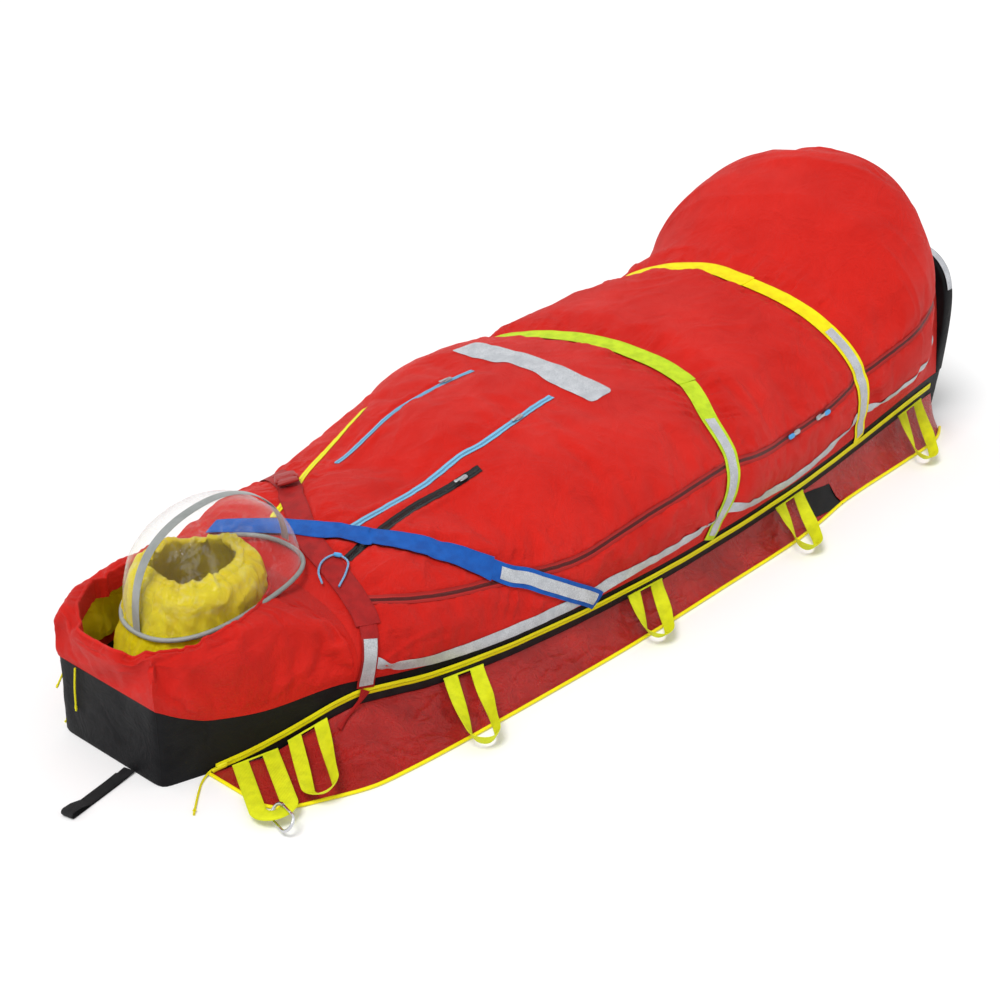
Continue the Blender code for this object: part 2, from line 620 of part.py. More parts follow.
def make_window():
    """Clear window dome, and its grey binding with the rib that holds it up."""
    inset = BINDING_RADIUS * 0.6
    outer = window_surface(inset)
    inner = window_surface(inset + WINDOW_THICKNESS)
    inner[0, :, 2] = outer[0, :, 2]
    dome = shell_object("face_window", outer, inner, (CLEAR, 0.05, 0.0), wrap=True, pole=True)
    columns = outer.shape[1]
    edge = outer[0]
    away = edge - edge.mean(axis=0)
    away[:, 2] = 0
    away /= np.linalg.norm(away, axis=1, keepdims=True)
    ring = edge + away * BINDING_RADIUS * 0.78
    ring[:, 2] -= BINDING_RADIUS * 0.78
    binding = tube_mesh("window_binding", ring, BINDING_RADIUS, closed=True)
    crest = outer[-1].mean(axis=0)
    rib_line = [outer[i, columns // 2] for i in range(len(outer))] + [crest]
    rib_line += [outer[i, 0] for i in range(len(outer) - 1, -1, -1)]
    rib_line = np.array(rib_line)
    run = np.gradient(rib_line, axis=0)
    square = np.stack([-run[:, 2], 0 * run[:, 0], run[:, 0]], axis=1)
    square /= np.linalg.norm(square, axis=1, keepdims=True)
    rib_line = rib_line + square * (RIB_RADIUS + 3 * SEAT_GAP)
    head_foot = edge[columns // 2] + np.array([-RIB_RADIUS - 3 * SEAT_GAP, 0, -BINDING_RADIUS * 0.78])
    chest_foot = edge[0] + np.array([RIB_RADIUS + 3 * SEAT_GAP, 0, -BINDING_RADIUS * 0.78])
    rib_line = np.concatenate([[head_foot], rib_line, [chest_foot]])
    rib = tube_mesh("window_rib_form", rib_line, RIB_RADIUS)
    union(binding, rib)
    pivot_at(dome, ring[0])
    pivot_at(binding, ring[0])


def tube_mesh(name, points, radius, closed=False, sides=8, finish=(SILVER, 0.5, 0.0)):
    """A round tube along points, as a mesh part."""
    curve = bpy.data.curves.new(name, "CURVE")
    curve.dimensions = "3D"
    curve.bevel_depth = radius
    curve.bevel_resolution = sides // 2 - 2
    curve.use_fill_caps = True
    line = curve.splines.new("POLY")
    line.points.add(len(points) - 1)
    for point, place in zip(line.points, points):
        point.co = (*map(float, place), 1.0)
    line.use_cyclic_u = closed
    holder = bpy.data.objects.new(name + "_curve", curve)
    parts.objects.link(holder)
    depsgraph = bpy.context.evaluated_depsgraph_get()
    mesh = bpy.data.meshes.new_from_object(holder.evaluated_get(depsgraph))
    bpy.data.objects.remove(holder)
    bpy.data.curves.remove(curve)
    work = bmesh.new()
    work.from_mesh(mesh)
    bmesh.ops.remove_doubles(work, verts=work.verts, dist=0.00001)
    work.to_mesh(mesh)
    work.free()
    mesh.name = name
    return finish_mesh(name, mesh, finish)


def union(part, tool):
    """Joins a form to a part and keeps the result as the part's own mesh."""
    joint = part.modifiers.new("join", "BOOLEAN")
    joint.operation = "UNION"
    joint.object = tool
    depsgraph = bpy.context.evaluated_depsgraph_get()
    joined = bpy.data.meshes.new_from_object(part.evaluated_get(depsgraph))
    part.modifiers.clear()
    part.data = joined
    bpy.data.objects.remove(tool)


def pivot_at(part, place):
    """Moves a part's origin onto its joint, with its shape left where it is."""
    place = Vector(place)
    part.data.transform(Matrix.Translation(-place))
    part.location = place


def cut_object(name, mesh):
    """A cutter, kept out of the model."""
    cutter = bpy.data.objects.new(name, mesh)
    cutter.hide_render = True
    cutter.display_type = "WIRE"
    cutters.objects.link(cutter)
    return cutter


def box_cutter(name, low, high):
    mesh = bpy.data.meshes.new(name)
    work = bmesh.new()
    bmesh.ops.create_cube(work, size=1.0)
    low, high = Vector(low), Vector(high)
    size = high - low
    bmesh.ops.scale(work, vec=size, verts=work.verts)
    bmesh.ops.translate(work, vec=(low + high) / 2, verts=work.verts)
    work.to_mesh(mesh)
    work.free()
    return cut_object(name, mesh)


def line_cutter(name, line, width, along_y, span):
    """A prism over a line drawn in the side view (along_y) or in the top view."""
    rows = sorted(line)
    across_line = not along_y and abs(rows[-1][0] - rows[0][0]) < 0.01
    if across_line:
        flat = np.array([(x_at(p[0]), p[1]) for p in line])
    else:
        value = curve_through(rows)
        shares = np.linspace(rows[0][0], rows[-1][0], 2 * len(rows))
        flat = np.stack([x_at(shares), value(shares)], axis=1)
    step = np.gradient(flat, axis=0)
    step /= np.linalg.norm(step, axis=1, keepdims=True)
    square = np.stack([-step[:, 1], step[:, 0]], axis=1) * width / 2
    outline = np.concatenate([flat + square, (flat - square)[::-1]])
    count = len(outline)
    verts = []
    for level in span:
        for a, b in outline:
            verts.append((a, level, b) if along_y else (a, b, level))
    faces = [(j, (j + 1) % count, count + (j + 1) % count, count + j) for j in range(count)]
    for start in (0, count):
        faces += [(start + j, start + j + 1, start + count - 2 - j, start + count - 1 - j)
                  for j in range(count // 2 - 1)]
    mesh = bpy.data.meshes.new(name)
    mesh.from_pydata(verts, [], faces)
    work = bmesh.new()
    work.from_mesh(mesh)
    bmesh.ops.recalc_face_normals(work, faces=work.faces)
    work.to_mesh(mesh)
    work.free()
    return cut_object(name, mesh)


def skin_tree(skin):
    """Search tree over the bag's skin, for placing things on it."""
    rows, columns = skin.shape[:2]
    return BVHTree.FromPolygons([tuple(map(float, p)) for p in skin.reshape(-1, 3)],
                                grid_faces(rows, columns, False))


def on_skin(tree, point):
    """The nearest point of the skin and the outward direction there."""
    place, normal, _, _ = tree.find_nearest(Vector(point))
    inside = Vector((place.x, 0.0, 0.08))
    if normal.dot(place - inside) < 0:
        normal = -normal
    return place, normal


def strap_line(tree, line, count):
    """Evenly spread places on the skin along a strap, with smooth outward and onward directions."""
    route = [Vector((x_at(p[0]), p[1], p[2])) for p in line]
    found = [on_skin(tree, p) for p in smooth_points(route, count)]
    places = np.array([tuple(p) for p, _ in found])
    outs = np.array([tuple(n) for _, n in found])
    for _ in range(3):
        outs[1:-1] = outs[:-2] + outs[1:-1] * 2 + outs[2:]
        outs /= np.linalg.norm(outs, axis=1, keepdims=True)
    runs = np.gradient(places, axis=0)
    runs /= np.linalg.norm(runs, axis=1, keepdims=True)
    return places, outs, runs


def sweep_cutter(name, rows, span, width, overrun):
    """A deep band along a span of a strap's rows, for cutting the strap out of a layer."""
    places, outs, runs = (values[slice(*span)].copy() for values in rows)
    side = np.cross(runs, outs)
    side /= np.linalg.norm(side, axis=1, keepdims=True)
    places[0] -= runs[0] * overrun[0]
    places[-1] += runs[-1] * overrun[1]
    verts = []
    for place, out, across in zip(places, outs, side):
        for a, b in ((-0.5, -1), (0.5, -1), (0.5, 1), (-0.5, 1)):
            verts.append(tuple(map(float, place + across * a * width + out * b * CUTTER_DEPTH)))
    mesh = bpy.data.meshes.new(name)
    mesh.from_pydata(verts, [], ribbon_faces(len(places)))
    work = bmesh.new()
    work.from_mesh(mesh)
    bmesh.ops.recalc_face_normals(work, faces=work.faces)
    work.to_mesh(mesh)
    work.free()
    return cut_object(name, mesh)


def skin_band(name, skin, normals, layer, thickness, cutter, finish, trims=()):
    """What a cutter keeps of a layer of the given thickness over the bag's skin."""
    outer = skin + normals * (layer + thickness)
    inner = skin + normals * layer
    part = shell_object(name, outer, inner, finish)
    keep = part.modifiers.new("keep", "BOOLEAN")
    keep.operation = "INTERSECT"
    keep.object = cutter
    for index, block in enumerate(trims):
        trim = part.modifiers.new("trim_%d" % index, "BOOLEAN")
        trim.operation = "DIFFERENCE"
        trim.object = block
    return part


def make_straps(skin, normals, tree):
    """Four straps, each a coloured tongue over the cover and a reflective lower strap."""
    straps = (
        ("shoulder_strap", BLUE_LINE, BLUE_JOINT, UPPER_STRAP_LAYER, BLUE),
        ("chest_strap", RED_LINE, RED_JOINT, STRAP_LAYER, DARK_RED),
        ("hip_strap", LIME_LINE, LIME_JOINT, STRAP_LAYER, LIME),
        ("leg_strap", YELLOW_LINE, YELLOW_JOINT, STRAP_LAYER, YELLOW),
    )
    for name, line, ends, layer, colour in straps:
        rows = strap_line(tree, line, STRAP_STEPS)
        joint, tape_end = (int(np.argmax(rows[0][:, 1] > end)) for end in ends)
        far_run = 0.0 if colour is BLUE else CUTTER_OVERRUN
        upper = sweep_cutter(name + "_form", rows, (joint, None), STRAP_WIDTH,
                             (-STRAP_JOINT_GAP / 2, far_run))
        skin_band(name, skin, normals, layer, STRAP_THICKNESS, upper, (colour, 0.6, 0.0))
        lower = sweep_cutter(name + "_lower_form", rows, (0, joint + 1), LOWER_STRAP_WIDTH,
                             (CUTTER_OVERRUN, -STRAP_JOINT_GAP / 2))
        skin_band(name + "_lower", skin, normals, layer, STRAP_THICKNESS, lower, (colour, 0.6, 0.0))
        tape = sweep_cutter(name + "_reflector_form", rows, (1, tape_end), REFLECTOR_WIDTH, (0.0, 0.0))
        skin_band(name + "_reflector", skin, normals, layer + STRAP_THICKNESS + SKIN_GAP,
                  REFLECTOR_THICKNESS, tape, (SILVER, 0.4, 0.0))
    return strap_line(tree, RED_LINE, STRAP_STEPS)


def make_tapes(skin, normals):
    """Zip tapes, the bar and the reflective strips that lie straight on the cover."""
    cutter = line_cutter("main_zip_line", MAIN_ZIP_LINE, MAIN_ZIP_WIDTH, True, MAIN_ZIP_SPAN)
    skin_band("main_zip", skin, normals, TAPE_LAYER, TAPE_THICKNESS, cutter, (DARK_RED, 0.7, 0.0))
    top_lines = (
        ("right_chest_zip", RIGHT_ZIP_LINE, TOP_ZIP_WIDTH, PALE_BLUE),
        ("left_chest_zip", LEFT_ZIP_LINE, TOP_ZIP_WIDTH, PALE_BLUE),
        ("shoulder_zip", YELLOW_ZIP_LINE, YELLOW_ZIP_WIDTH, YELLOW),
        ("pocket_zip", POCKET_ZIP_LINE, POCKET_ZIP_WIDTH, BLACK),
        ("belly_bar", BELLY_BAR_LINE, BELLY_BAR_WIDTH, SILVER),
    )
    for name, line, width, colour in top_lines:
        cutter = line_cutter(name + "_line", line, width, False, TOP_LINE_SPAN)
        skin_band(name, skin, normals, TAPE_LAYER, TAPE_THICKNESS, cutter, (colour, 0.6, 0.0))
    for name, span in (("near_reflective_strip", NEAR_SPAN), ("far_reflective_strip", FAR_SPAN)):
        cutter = line_cutter(name + "_line", REFLECTIVE_STRIP_LINE, REFLECTIVE_STRIP_WIDTH, True, span)
        skin_band(name, skin, normals, TAPE_LAYER, TAPE_THICKNESS, cutter, (SILVER, 0.4, 0.0))


def wall_strip(name, shares, low, high, gap, thickness, side, finish):
    """A tape along the tub's wall between two heights."""
    out = wall_outward(shares, side)
    inner = np.stack([wall_point(shares, low, side) + out * gap,
                      wall_point(shares, high, side) + out * gap], axis=1)
    outer = np.stack([wall_point(shares, low, side) + out * (gap + thickness),
                      wall_point(shares, high, side) + out * (gap + thickness)], axis=1)
    return shell_object(name, outer, inner, finish)


def make_side_zips():
    """A closed zip tape along each wall of the tub."""
    shares = TUB_SHARES[(TUB_SHARES > 0.04) & (TUB_SHARES < 0.98)]
    for name, side in (("near_side_zip", -1), ("far_side_zip", 1)):
        middle = zip_height(shares)
        wall_strip(name, shares, middle - ZIP_TAPE_WIDTH / 2, middle + ZIP_TAPE_WIDTH / 2, SKIN_GAP,
                   ZIP_TAPE_THICKNESS, side, (YELLOW, 0.6, 0.0))


def seam_tape_shares():
    return TUB_SHARES[(TUB_SHARES > 0.12) & (TUB_SHARES < 0.97)]


def make_sheet():
    """The opened sheet on the floor beside the tub, with its seam tape, piping and closing patch."""
    shares = seam_tape_shares()
    top = zip_height(shares) - ZIP_TAPE_WIDTH / 2 - SKIN_GAP
    wall_strip("sheet_seam_tape", shares, top - SEAM_TAPE_WIDTH, top, SKIN_GAP, SEAM_TAPE_THICKNESS, -1,
               (BLACK, 0.7, 0.0))
    sheet_shares = np.concatenate([[0.040], TUB_SHARES[(TUB_SHARES > 0.042) & (TUB_SHARES < 0.98)], [0.985]])
    edge = sheet_edge(sheet_shares)
    root = sheet_root(sheet_shares)
    columns = []
    for v in (0.0, 0.25, 0.5, 0.75, 1.0):
        side = root[:, 1] * (1 - v) - edge * v
        fall = (1 - v) ** 2
        ripple = SHEET_RIPPLE * np.sin(v * math.pi) ** 2 * (0.5 + 0.5 * np.sin(sheet_shares * 95))
        ripple *= np.clip((sheet_shares - 0.2) / 0.1, 0, 1)
        height = SHEET_THICKNESS + (root[:, 2] - SHEET_THICKNESS) * fall + ripple
        columns.append(np.stack([x_at(sheet_shares), side, height], axis=1))
    top_face = np.stack(columns, axis=1)
    under = top_face - np.array([0, 0, SHEET_THICKNESS])
    shell_object("rescue_sheet", top_face, under, (GLOSSY_RED, 0.15, 0.0))
    make_piping(top_face)
    x = x_at(PATCH_SHARE)
    cutter = box_cutter("closing_patch_block", (x - PATCH_SIZE[0] / 2, -PATCH_OUTER, -0.1),
                        (x + PATCH_SIZE[0] / 2, -PATCH_OUTER + PATCH_SIZE[1], 0.2))
    normals = grid_normals(top_face)
    if normals[3, 2, 2] < 0:
        normals = -normals
    skin_band("closing_patch", top_face, normals, SEAT_GAP, PATCH_THICKNESS, cutter, (BLACK, 0.9, 0.0))


def sheet_root(shares):
    """Upper edge of the sheet along the tub's wall, just under the seam tape."""
    height = zip_height(shares) - ZIP_TAPE_WIDTH / 2 - SEAM_TAPE_WIDTH - 4 * SKIN_GAP
    height = np.maximum(height, SHEET_THICKNESS + SEAT_GAP)
    under_tape = np.clip((0.13 - shares) / 0.03, 0, 1)
    stand = 2 * SKIN_GAP + ZIP_TAPE_THICKNESS * under_tape
    return wall_point(shares, height, -1) + wall_outward(shares, -1) * stand[:, None]


def make_piping(top_face):
    """Round piping along the sheet's outer edge and its head edge."""
    edge = top_face[:, -1]
    head = top_face[0, 1:-1]
    line = np.concatenate([head, edge])
    step = np.gradient(line, axis=0)
    step[:, 2] = 0
    step /= np.linalg.norm(step, axis=1, keepdims=True)
    out = np.stack([step[:, 1], -step[:, 0], 0 * step[:, 0]], axis=1)
    line = line + out * (PIPING_RADIUS + 3 * SEAT_GAP)
    line[:, 2] = PIPING_RADIUS + SEAT_GAP
    tube_mesh("sheet_piping", line, PIPING_RADIUS, sides=6, finish=(YELLOW, 0.5, 0.0))


def make_stowed_sheet():
    """The other sheet, folded in behind its closed zip along the far wall."""
    shares = TUB_SHARES[(TUB_SHARES > 0.06) & (TUB_SHARES < 0.98)]
    out = wall_outward(shares, 1)
    top = np.maximum(zip_height(shares) - ZIP_TAPE_WIDTH / 2 + 0.003, 0.008)
    taper = np.clip(np.minimum(shares - 0.06, 0.985 - shares) / 0.05, 0.15, 1)
    loops = []
    for reach, height in ((0.0, 1.0), (0.45, 0.98), (0.9, 0.72), (1.0, 0.38), (0.85, 0.0), (0.0, 0.0)):
        level = top * height
        push = 2 * SKIN_GAP + ZIP_TAPE_THICKNESS + STOWED_SHEET_BULGE * reach * taper
        loops.append(wall_point(shares, level, 1) + out * push[:, None])
    loft_object("stowed_sheet", np.stack(loops, axis=1), (GLOSSY_RED, 0.2, 0.0), strip_caps=False)


def loop_frame(index):
    """Root point of a carrying loop on the wall, and its rail, run and reach to the band's round end."""
    share, width, end_share, end_side, end_height = LOOP_ROWS[index]
    step = (LOOP_SLOT / 2 + width) / BAG_LENGTH
    shares = np.linspace(share - step, share + step, 9)
    height = zip_height(shares) - ZIP_TAPE_WIDTH / 2 - SEAM_TAPE_WIDTH / 2 - SKIN_GAP
    height = np.maximum(height, LOOP_ROOT_LEAST_HEIGHT)
    wall = wall_point(shares, height, -1)
    rail = Vector(wall[-1] - wall[0]).normalized()
    out = Vector(wall_outward(np.array(share), -1))
    overhang = max((Vector(p) - Vector(wall[4])).dot(out) for p in wall)
    tape = ZIP_TAPE_THICKNESS if share < 0.13 else SEAM_TAPE_THICKNESS
    stand = overhang + 2 * SKIN_GAP + tape + LOOP_ROOT_RADIUS
    point = Vector(wall[4]) + out * stand
    run = Vector((x_at(end_share), -end_side, end_height)) - point
    return point, rail, run.normalized(), run.length + width / 2


def make_loop(index):
    """One flat webbing loop: two legs from a sewn root bar, joined by a round end on the floor."""
    point, rail, run, reach = loop_frame(index)
    width = LOOP_ROWS[index][1]
    square = rail.cross(run).normalized()
    across = run.cross(square).normalized()
    if across.dot(rail) < 0:
        across = -across
    rise = rail.dot(run) / rail.dot(across)
    spread = (LOOP_SLOT + width) / 2
    path = [(-spread, 0.0), (-spread, reach * 0.4)]
    for angle in np.linspace(math.pi, 0, 7):
        path.append((spread * math.cos(angle), reach - spread - width / 2 + spread * math.sin(angle)))
    path += [(spread, reach * 0.4), (spread, 0.0)]
    flat = np.array(path)
    step = np.gradient(flat, axis=0)
    step[0], step[1], step[-2], step[-1] = (0, 1), (0, 1), (0, -1), (0, -1)
    step /= np.linalg.norm(step, axis=1, keepdims=True)
    side = np.stack([-step[:, 1], step[:, 0]], axis=1) * width / 2
    verts = []
    for row, ((a, b), (da, db)) in enumerate(zip(flat, side)):
        for sign, level in ((-1, -0.5), (1, -0.5), (1, 0.5), (-1, 0.5)):
            u, v = a + sign * da, b + sign * db
            if row in (0, len(flat) - 1):
                v = u * rise
            verts.append(point + across * u + run * v + square * (level * LOOP_THICKNESS))
    name = "carry_loop_%d" % (index + 1)
    part = mesh_object(name, verts, ribbon_faces(len(flat)), (LIME, 0.5, 0.0))
    bar = (spread + width / 2) / across.dot(rail)
    root = tube_mesh(name + "_root", [point - rail * bar, point + rail * bar], LOOP_ROOT_RADIUS)
    union(part, root)
    pivot_at(part, point)


def ribbon_faces(count):
    """Faces of a flat ribbon given as rows of four corner points."""
    faces = [tuple(range(4)), tuple(range((count - 1) * 4, count * 4))]
    for i in range(count - 1):
        for j in range(4):
            k = (j + 1) % 4
            faces.append((i * 4 + j, i * 4 + k, (i + 1) * 4 + k, (i + 1) * 4 + j))
    return faces


def make_loops():
    for index in range(len(LOOP_ROWS)):
        make_loop(index)


def carabiner_frame():
    """Centre of the carabiner through the first loop's end, its long axis and its short axis."""
    point, rail, run, reach = loop_frame(0)
    width = LOOP_ROWS[0][1]
    inner_end = point + run * (reach - width - CARABINER_HANG)
    long_axis = Matrix.Rotation(CARABINER_YAW, 3, "Z") @ run
    centre = inner_end + long_axis * (CARABINER_LENGTH / 2 - 2 * CARABINER_WIRE)
    across = Vector((-long_axis.y, long_axis.x, 0)).normalized()
    short = across * math.cos(CARABINER_TILT) + Vector((0, 0, 1)) * math.sin(CARABINER_TILT)
    return centre, long_axis, short


def carabiner_outline():
    """Centre line of the oval wire, from the gate's hinge end round to its latch end."""
    half = CARABINER_WIDTH / 2 - CARABINER_WIRE
    straight = CARABINER_LENGTH / 2 - CARABINER_WIRE - half
    gate_inner = -straight * 0.82
    gate_outer = straight * 0.9
    line = [(gate_inner, half), (-straight, half)]
    line += [(-straight - half * math.sin(a), half * math.cos(a)) for a in np.linspace(0, math.pi, 7)[1:]]
    line += [(0.0, -half)]
    line += [(straight + half * math.sin(a), -half * math.cos(a)) for a in np.linspace(0, math.pi, 7)]
    line += [(gate_outer, half)]
    return line, gate_inner, gate_outer, half


def make_carabiner():
    """Small oval carabiner: the open wire body and the sprung gate between its ends."""
    centre, long_axis, short = carabiner_frame()
    line, gate_inner, gate_outer, half = carabiner_outline()
    points = [centre + long_axis * a + short * b for a, b in line]
    body = tube_mesh("carabiner_body", points, CARABINER_WIRE, finish=(SILVER, 0.25, 1.0))
    ends = (gate_inner + GATE_CLEARANCE, gate_outer - 3 * GATE_CLEARANCE)
    gate = [centre + long_axis * a + short * half for a in ends]
    latch = tube_mesh("carabiner_gate", gate, CARABINER_WIRE * GATE_SLIMNESS, finish=(SILVER, 0.25, 1.0))
    pivot_at(body, centre - long_axis * (CARABINER_LENGTH / 2 - 2 * CARABINER_WIRE))
    pivot_at(latch, gate[0])


def slider_mesh(name, point, along, square, ride, finish):
    """A zip slider: a rounded body with a flat pull tab, set a little above its tape."""
    along = along.normalized()
    square = (square - along * square.dot(along)).normalized()
    across = square.cross(along)
    mesh = bpy.data.meshes.new(name)
    work = bmesh.new()
    bmesh.ops.create_cube(work, size=1.0)
    bmesh.ops.scale(work, vec=Vector(SLIDER_SIZE), verts=work.verts)
    taper = [v for v in work.verts if v.co.x < 0]
    bmesh.ops.scale(work, vec=Vector((1, 0.7, 1)), verts=taper)
    top = [v for v in work.verts if v.co.z > 0]
    bmesh.ops.scale(work, vec=Vector((0.85, 0.8, 1)), verts=top)
    frame = Matrix((along, across, square)).transposed().to_4x4()
    frame.translation = Vector(point) + square * (ride + SLIDER_SIZE[2] / 2)
    bmesh.ops.transform(work, matrix=frame, verts=work.verts)
    work.to_mesh(mesh)
    work.free()
    part = finish_mesh(name, mesh, finish)
    tab = bpy.data.meshes.new(name + "_tab")
    work = bmesh.new()
    bmesh.ops.create_cube(work, size=1.0)
    bmesh.ops.scale(work, vec=Vector(SLIDER_TAB), verts=work.verts)
    frame.translation = (Vector(point) + square * (ride + SLIDER_SIZE[2] - SLIDER_TAB[2] * 0.4)
                         - along * (SLIDER_TAB[0] / 2 - SLIDER_SIZE[0] * 0.1))
    bmesh.ops.transform(work, matrix=frame, verts=work.verts)
    work.to_mesh(tab)
    work.free()
    union(part, finish_mesh(name + "_tab", tab, finish))
    pivot_at(part, point)


def side_zip_frame(share, side):
    """Place on a side zip's tape, the tape's direction there and the wall's outward direction."""
    step = 0.01
    ahead = wall_point(share + step, zip_height(share + step), side)
    place = wall_point(share, zip_height(share), side)
    out = Vector(wall_outward(np.array(share), side))
    return Vector(place) + out * (SKIN_GAP + ZIP_TAPE_THICKNESS), Vector(ahead - place).normalized(), out


def make_side_sliders():
    """The slider at the head end of each side zip, and the knotted cord tied at the zip's end."""
    for name, side in (("near", -1), ("far", 1)):
        point, along, out = side_zip_frame(SIDE_SLIDER_SHARE, side)
        slider_mesh(name + "_zip_slider", point, along, out, SIDE_SLIDER_RIDE, (YELLOW, 0.4, 0.0))
        end, along, out = side_zip_frame(float(TUB_SHARES[2]), side)
        start = end + out * (CORD_RADIUS + SKIN_GAP - ZIP_TAPE_THICKNESS) - along * SKIN_GAP
        spread = 1.0 if side < 0 else STOWED_PULL_SPREAD
        floor = CORD_RADIUS + SEAT_GAP
        route = [start, start - along * 0.007]
        for back, away, height in PULL_ROUTE:
            place = start - along * back + out * away * spread
            place.z = floor + height
            route.append(place)
        tube_mesh(name + "_zip_pull", smooth_points(route, 16), CORD_RADIUS, finish=(YELLOW, 0.6, 0.0))


def smooth_points(route, count):
    """Points of one smooth curve through a route."""
    route = np.array([tuple(p) for p in route])
    lengths = np.concatenate([[0], np.cumsum(np.linalg.norm(np.diff(route, axis=0), axis=1))])
    tangents = np.gradient(route, lengths, axis=0)
    points = []
    for d in np.linspace(0, lengths[-1], count):
        i = min(int(np.searchsorted(lengths, d, side="right")) - 1, len(route) - 2)
        h = lengths[i + 1] - lengths[i]
        u = (d - lengths[i]) / h
        points.append(route[i] * (1 + 2 * u) * (1 - u) ** 2 + tangents[i] * h * u * (1 - u) ** 2
                      + route[i + 1] * u * u * (3 - 2 * u) + tangents[i + 1] * h * u * u * (u - 1))
    return points


def skin_spot(skin, normals, share, test):
    """Point and outward direction of the skin at a station where a test of its points is least."""
    row = float(np.interp(share, COVER_SHARES, np.arange(len(COVER_SHARES))))
    i = min(int(row), len(COVER_SHARES) - 2)
    w = row - i
    points = skin[i] * (1 - w) + skin[i + 1] * w
    outs = normals[i] * (1 - w) + normals[i + 1] * w
    fine = np.linspace(0, len(points) - 1, 400)
    cell = np.clip(fine.astype(int), 0, len(points) - 2)
    u = (fine - cell)[:, None]
    dense = points[cell] * (1 - u) + points[cell + 1] * u
    dense_out = outs[cell] * (1 - u) + outs[cell + 1] * u
    k = int(np.argmin([test(p) for p in dense]))
    return Vector(dense[k]), Vector(dense_out[k]).normalized()


def make_cover_sliders(skin, normals):
    """Sliders on the main zip, the two chest zips and the pocket zip."""
    main_line = curve_through(MAIN_ZIP_LINE)
    rows = [("main_zip_slider_%d" % (k + 1), share, main_line, True, 1 - 2 * k)
            for k, share in enumerate(MAIN_SLIDER_SHARES)]
    rows += [("right_chest_slider", 0.440, curve_through(sorted(RIGHT_ZIP_LINE)), False, 1),
             ("left_chest_slider", 0.455, curve_through(sorted(LEFT_ZIP_LINE)), False, 1),
             ("pocket_slider", 0.352, curve_through(sorted(POCKET_ZIP_LINE)), False, 1)]
    for name, share, line, side_view, way in rows:
        spots = []
        for s in (share - 0.01, share, share + 0.01):
            target = float(line(s))
            if side_view:
                spots.append(skin_spot(skin, normals, s, lambda p: abs(p[2] - target) + (p[1] > 0)))
            else:
                spots.append(skin_spot(skin, normals, s, lambda p: abs(p[1] - target)))
        along = (spots[2][0] - spots[0][0]) * way
        point, out = spots[1]
        ride = TAPE_LAYER + TAPE_THICKNESS + SLIDER_RIDE
        slider_mesh(name, point, along, out, ride, (SILVER, 0.4, 0.6))


def make_buckle(red_line):
    """Side-release buckle on the chest strap, on the far shoulder."""
    places, outs, _ = red_line
    k = int(np.argmin(np.abs(places[:, 1] - BUCKLE_SIDE)))
    point, out = Vector(places[k]), Vector(outs[k]).normalized()
    along = Vector(places[k + 1] - places[k - 1])
    along = (along - out * along.dot(out)).normalized()
    across = out.cross(along)
    mesh = bpy.data.meshes.new("chest_buckle")
    work = bmesh.new()
    bmesh.ops.create_cube(work, size=1.0)
    bmesh.ops.scale(work, vec=Vector(BUCKLE_SIZE), verts=work.verts)
    turn = Matrix((along, across, out)).transposed().to_4x4()
    turn.translation = point + out * (STRAP_LAYER + STRAP_THICKNESS + BUCKLE_STAND + BUCKLE_SIZE[2] / 2)
    bmesh.ops.transform(work, matrix=turn, verts=work.verts)
    work.to_mesh(mesh)
    work.free()
    part = finish_mesh("chest_buckle", mesh, (DARK_RED, 0.4, 0.0))
    edge = part.modifiers.new("edge", "BEVEL")
    edge.width = 0.003
    edge.segments = 2


def make_pull_loop():
    """Drag loop of folded webbing at the head: out along the floor, round a bight and back on itself."""
    gap = 0.0006
    t, reach = PULL_LOOP_THICKNESS, PULL_LOOP_REACH
    bight = 0.006
    low = SEAT_GAP + t / 2
    back = low + t + gap
    path = [(0.0, low + 0.0025), (0.02, low + 0.001), (0.05, low), (reach - 0.045, low), (reach - 0.02, low)]
    centre = (reach - bight, low + bight)
    for angle in np.linspace(-math.pi / 2, math.pi / 2, 6)[1:]:
        path.append((centre[0] + bight * math.cos(angle), centre[1] + bight * math.sin(angle)))
    path += [(reach - 0.025, low + bight * 1.7), (reach - 0.05, back), (0.05, back), (0.022, back + 0.001)]
    flat = np.array(path)
    step = np.gradient(flat, axis=0)
    step /= np.linalg.norm(step, axis=1, keepdims=True)
    side = np.stack([-step[:, 1], step[:, 0]], axis=1) * t / 2
    x0 = x_at(0.0) - 2 * SEAT_GAP - PULL_LOOP_WIDTH / 2 * math.sin(PULL_LOOP_YAW)
    out = Vector((-math.cos(PULL_LOOP_YAW), -math.sin(PULL_LOOP_YAW), 0))
    across = Vector((-out.y, out.x, 0)) * PULL_LOOP_WIDTH / 2
    verts = []
    for (a, b), (da, db) in zip(flat, side):
        for sign_side, sign_across in ((-1, -1), (-1, 1), (1, 1), (1, -1)):
            place = Vector((x0, PULL_LOOP_SIDE, 0)) + out * (a + da * sign_side)
            verts.append(place + Vector((0, 0, b + db * sign_side)) + across * sign_across)
    part = mesh_object("drag_loop", verts, ribbon_faces(len(flat)), (BLACK, 0.7, 0.0))
    pivot_at(part, (x0, PULL_LOOP_SIDE, low + flat[0, 1]))


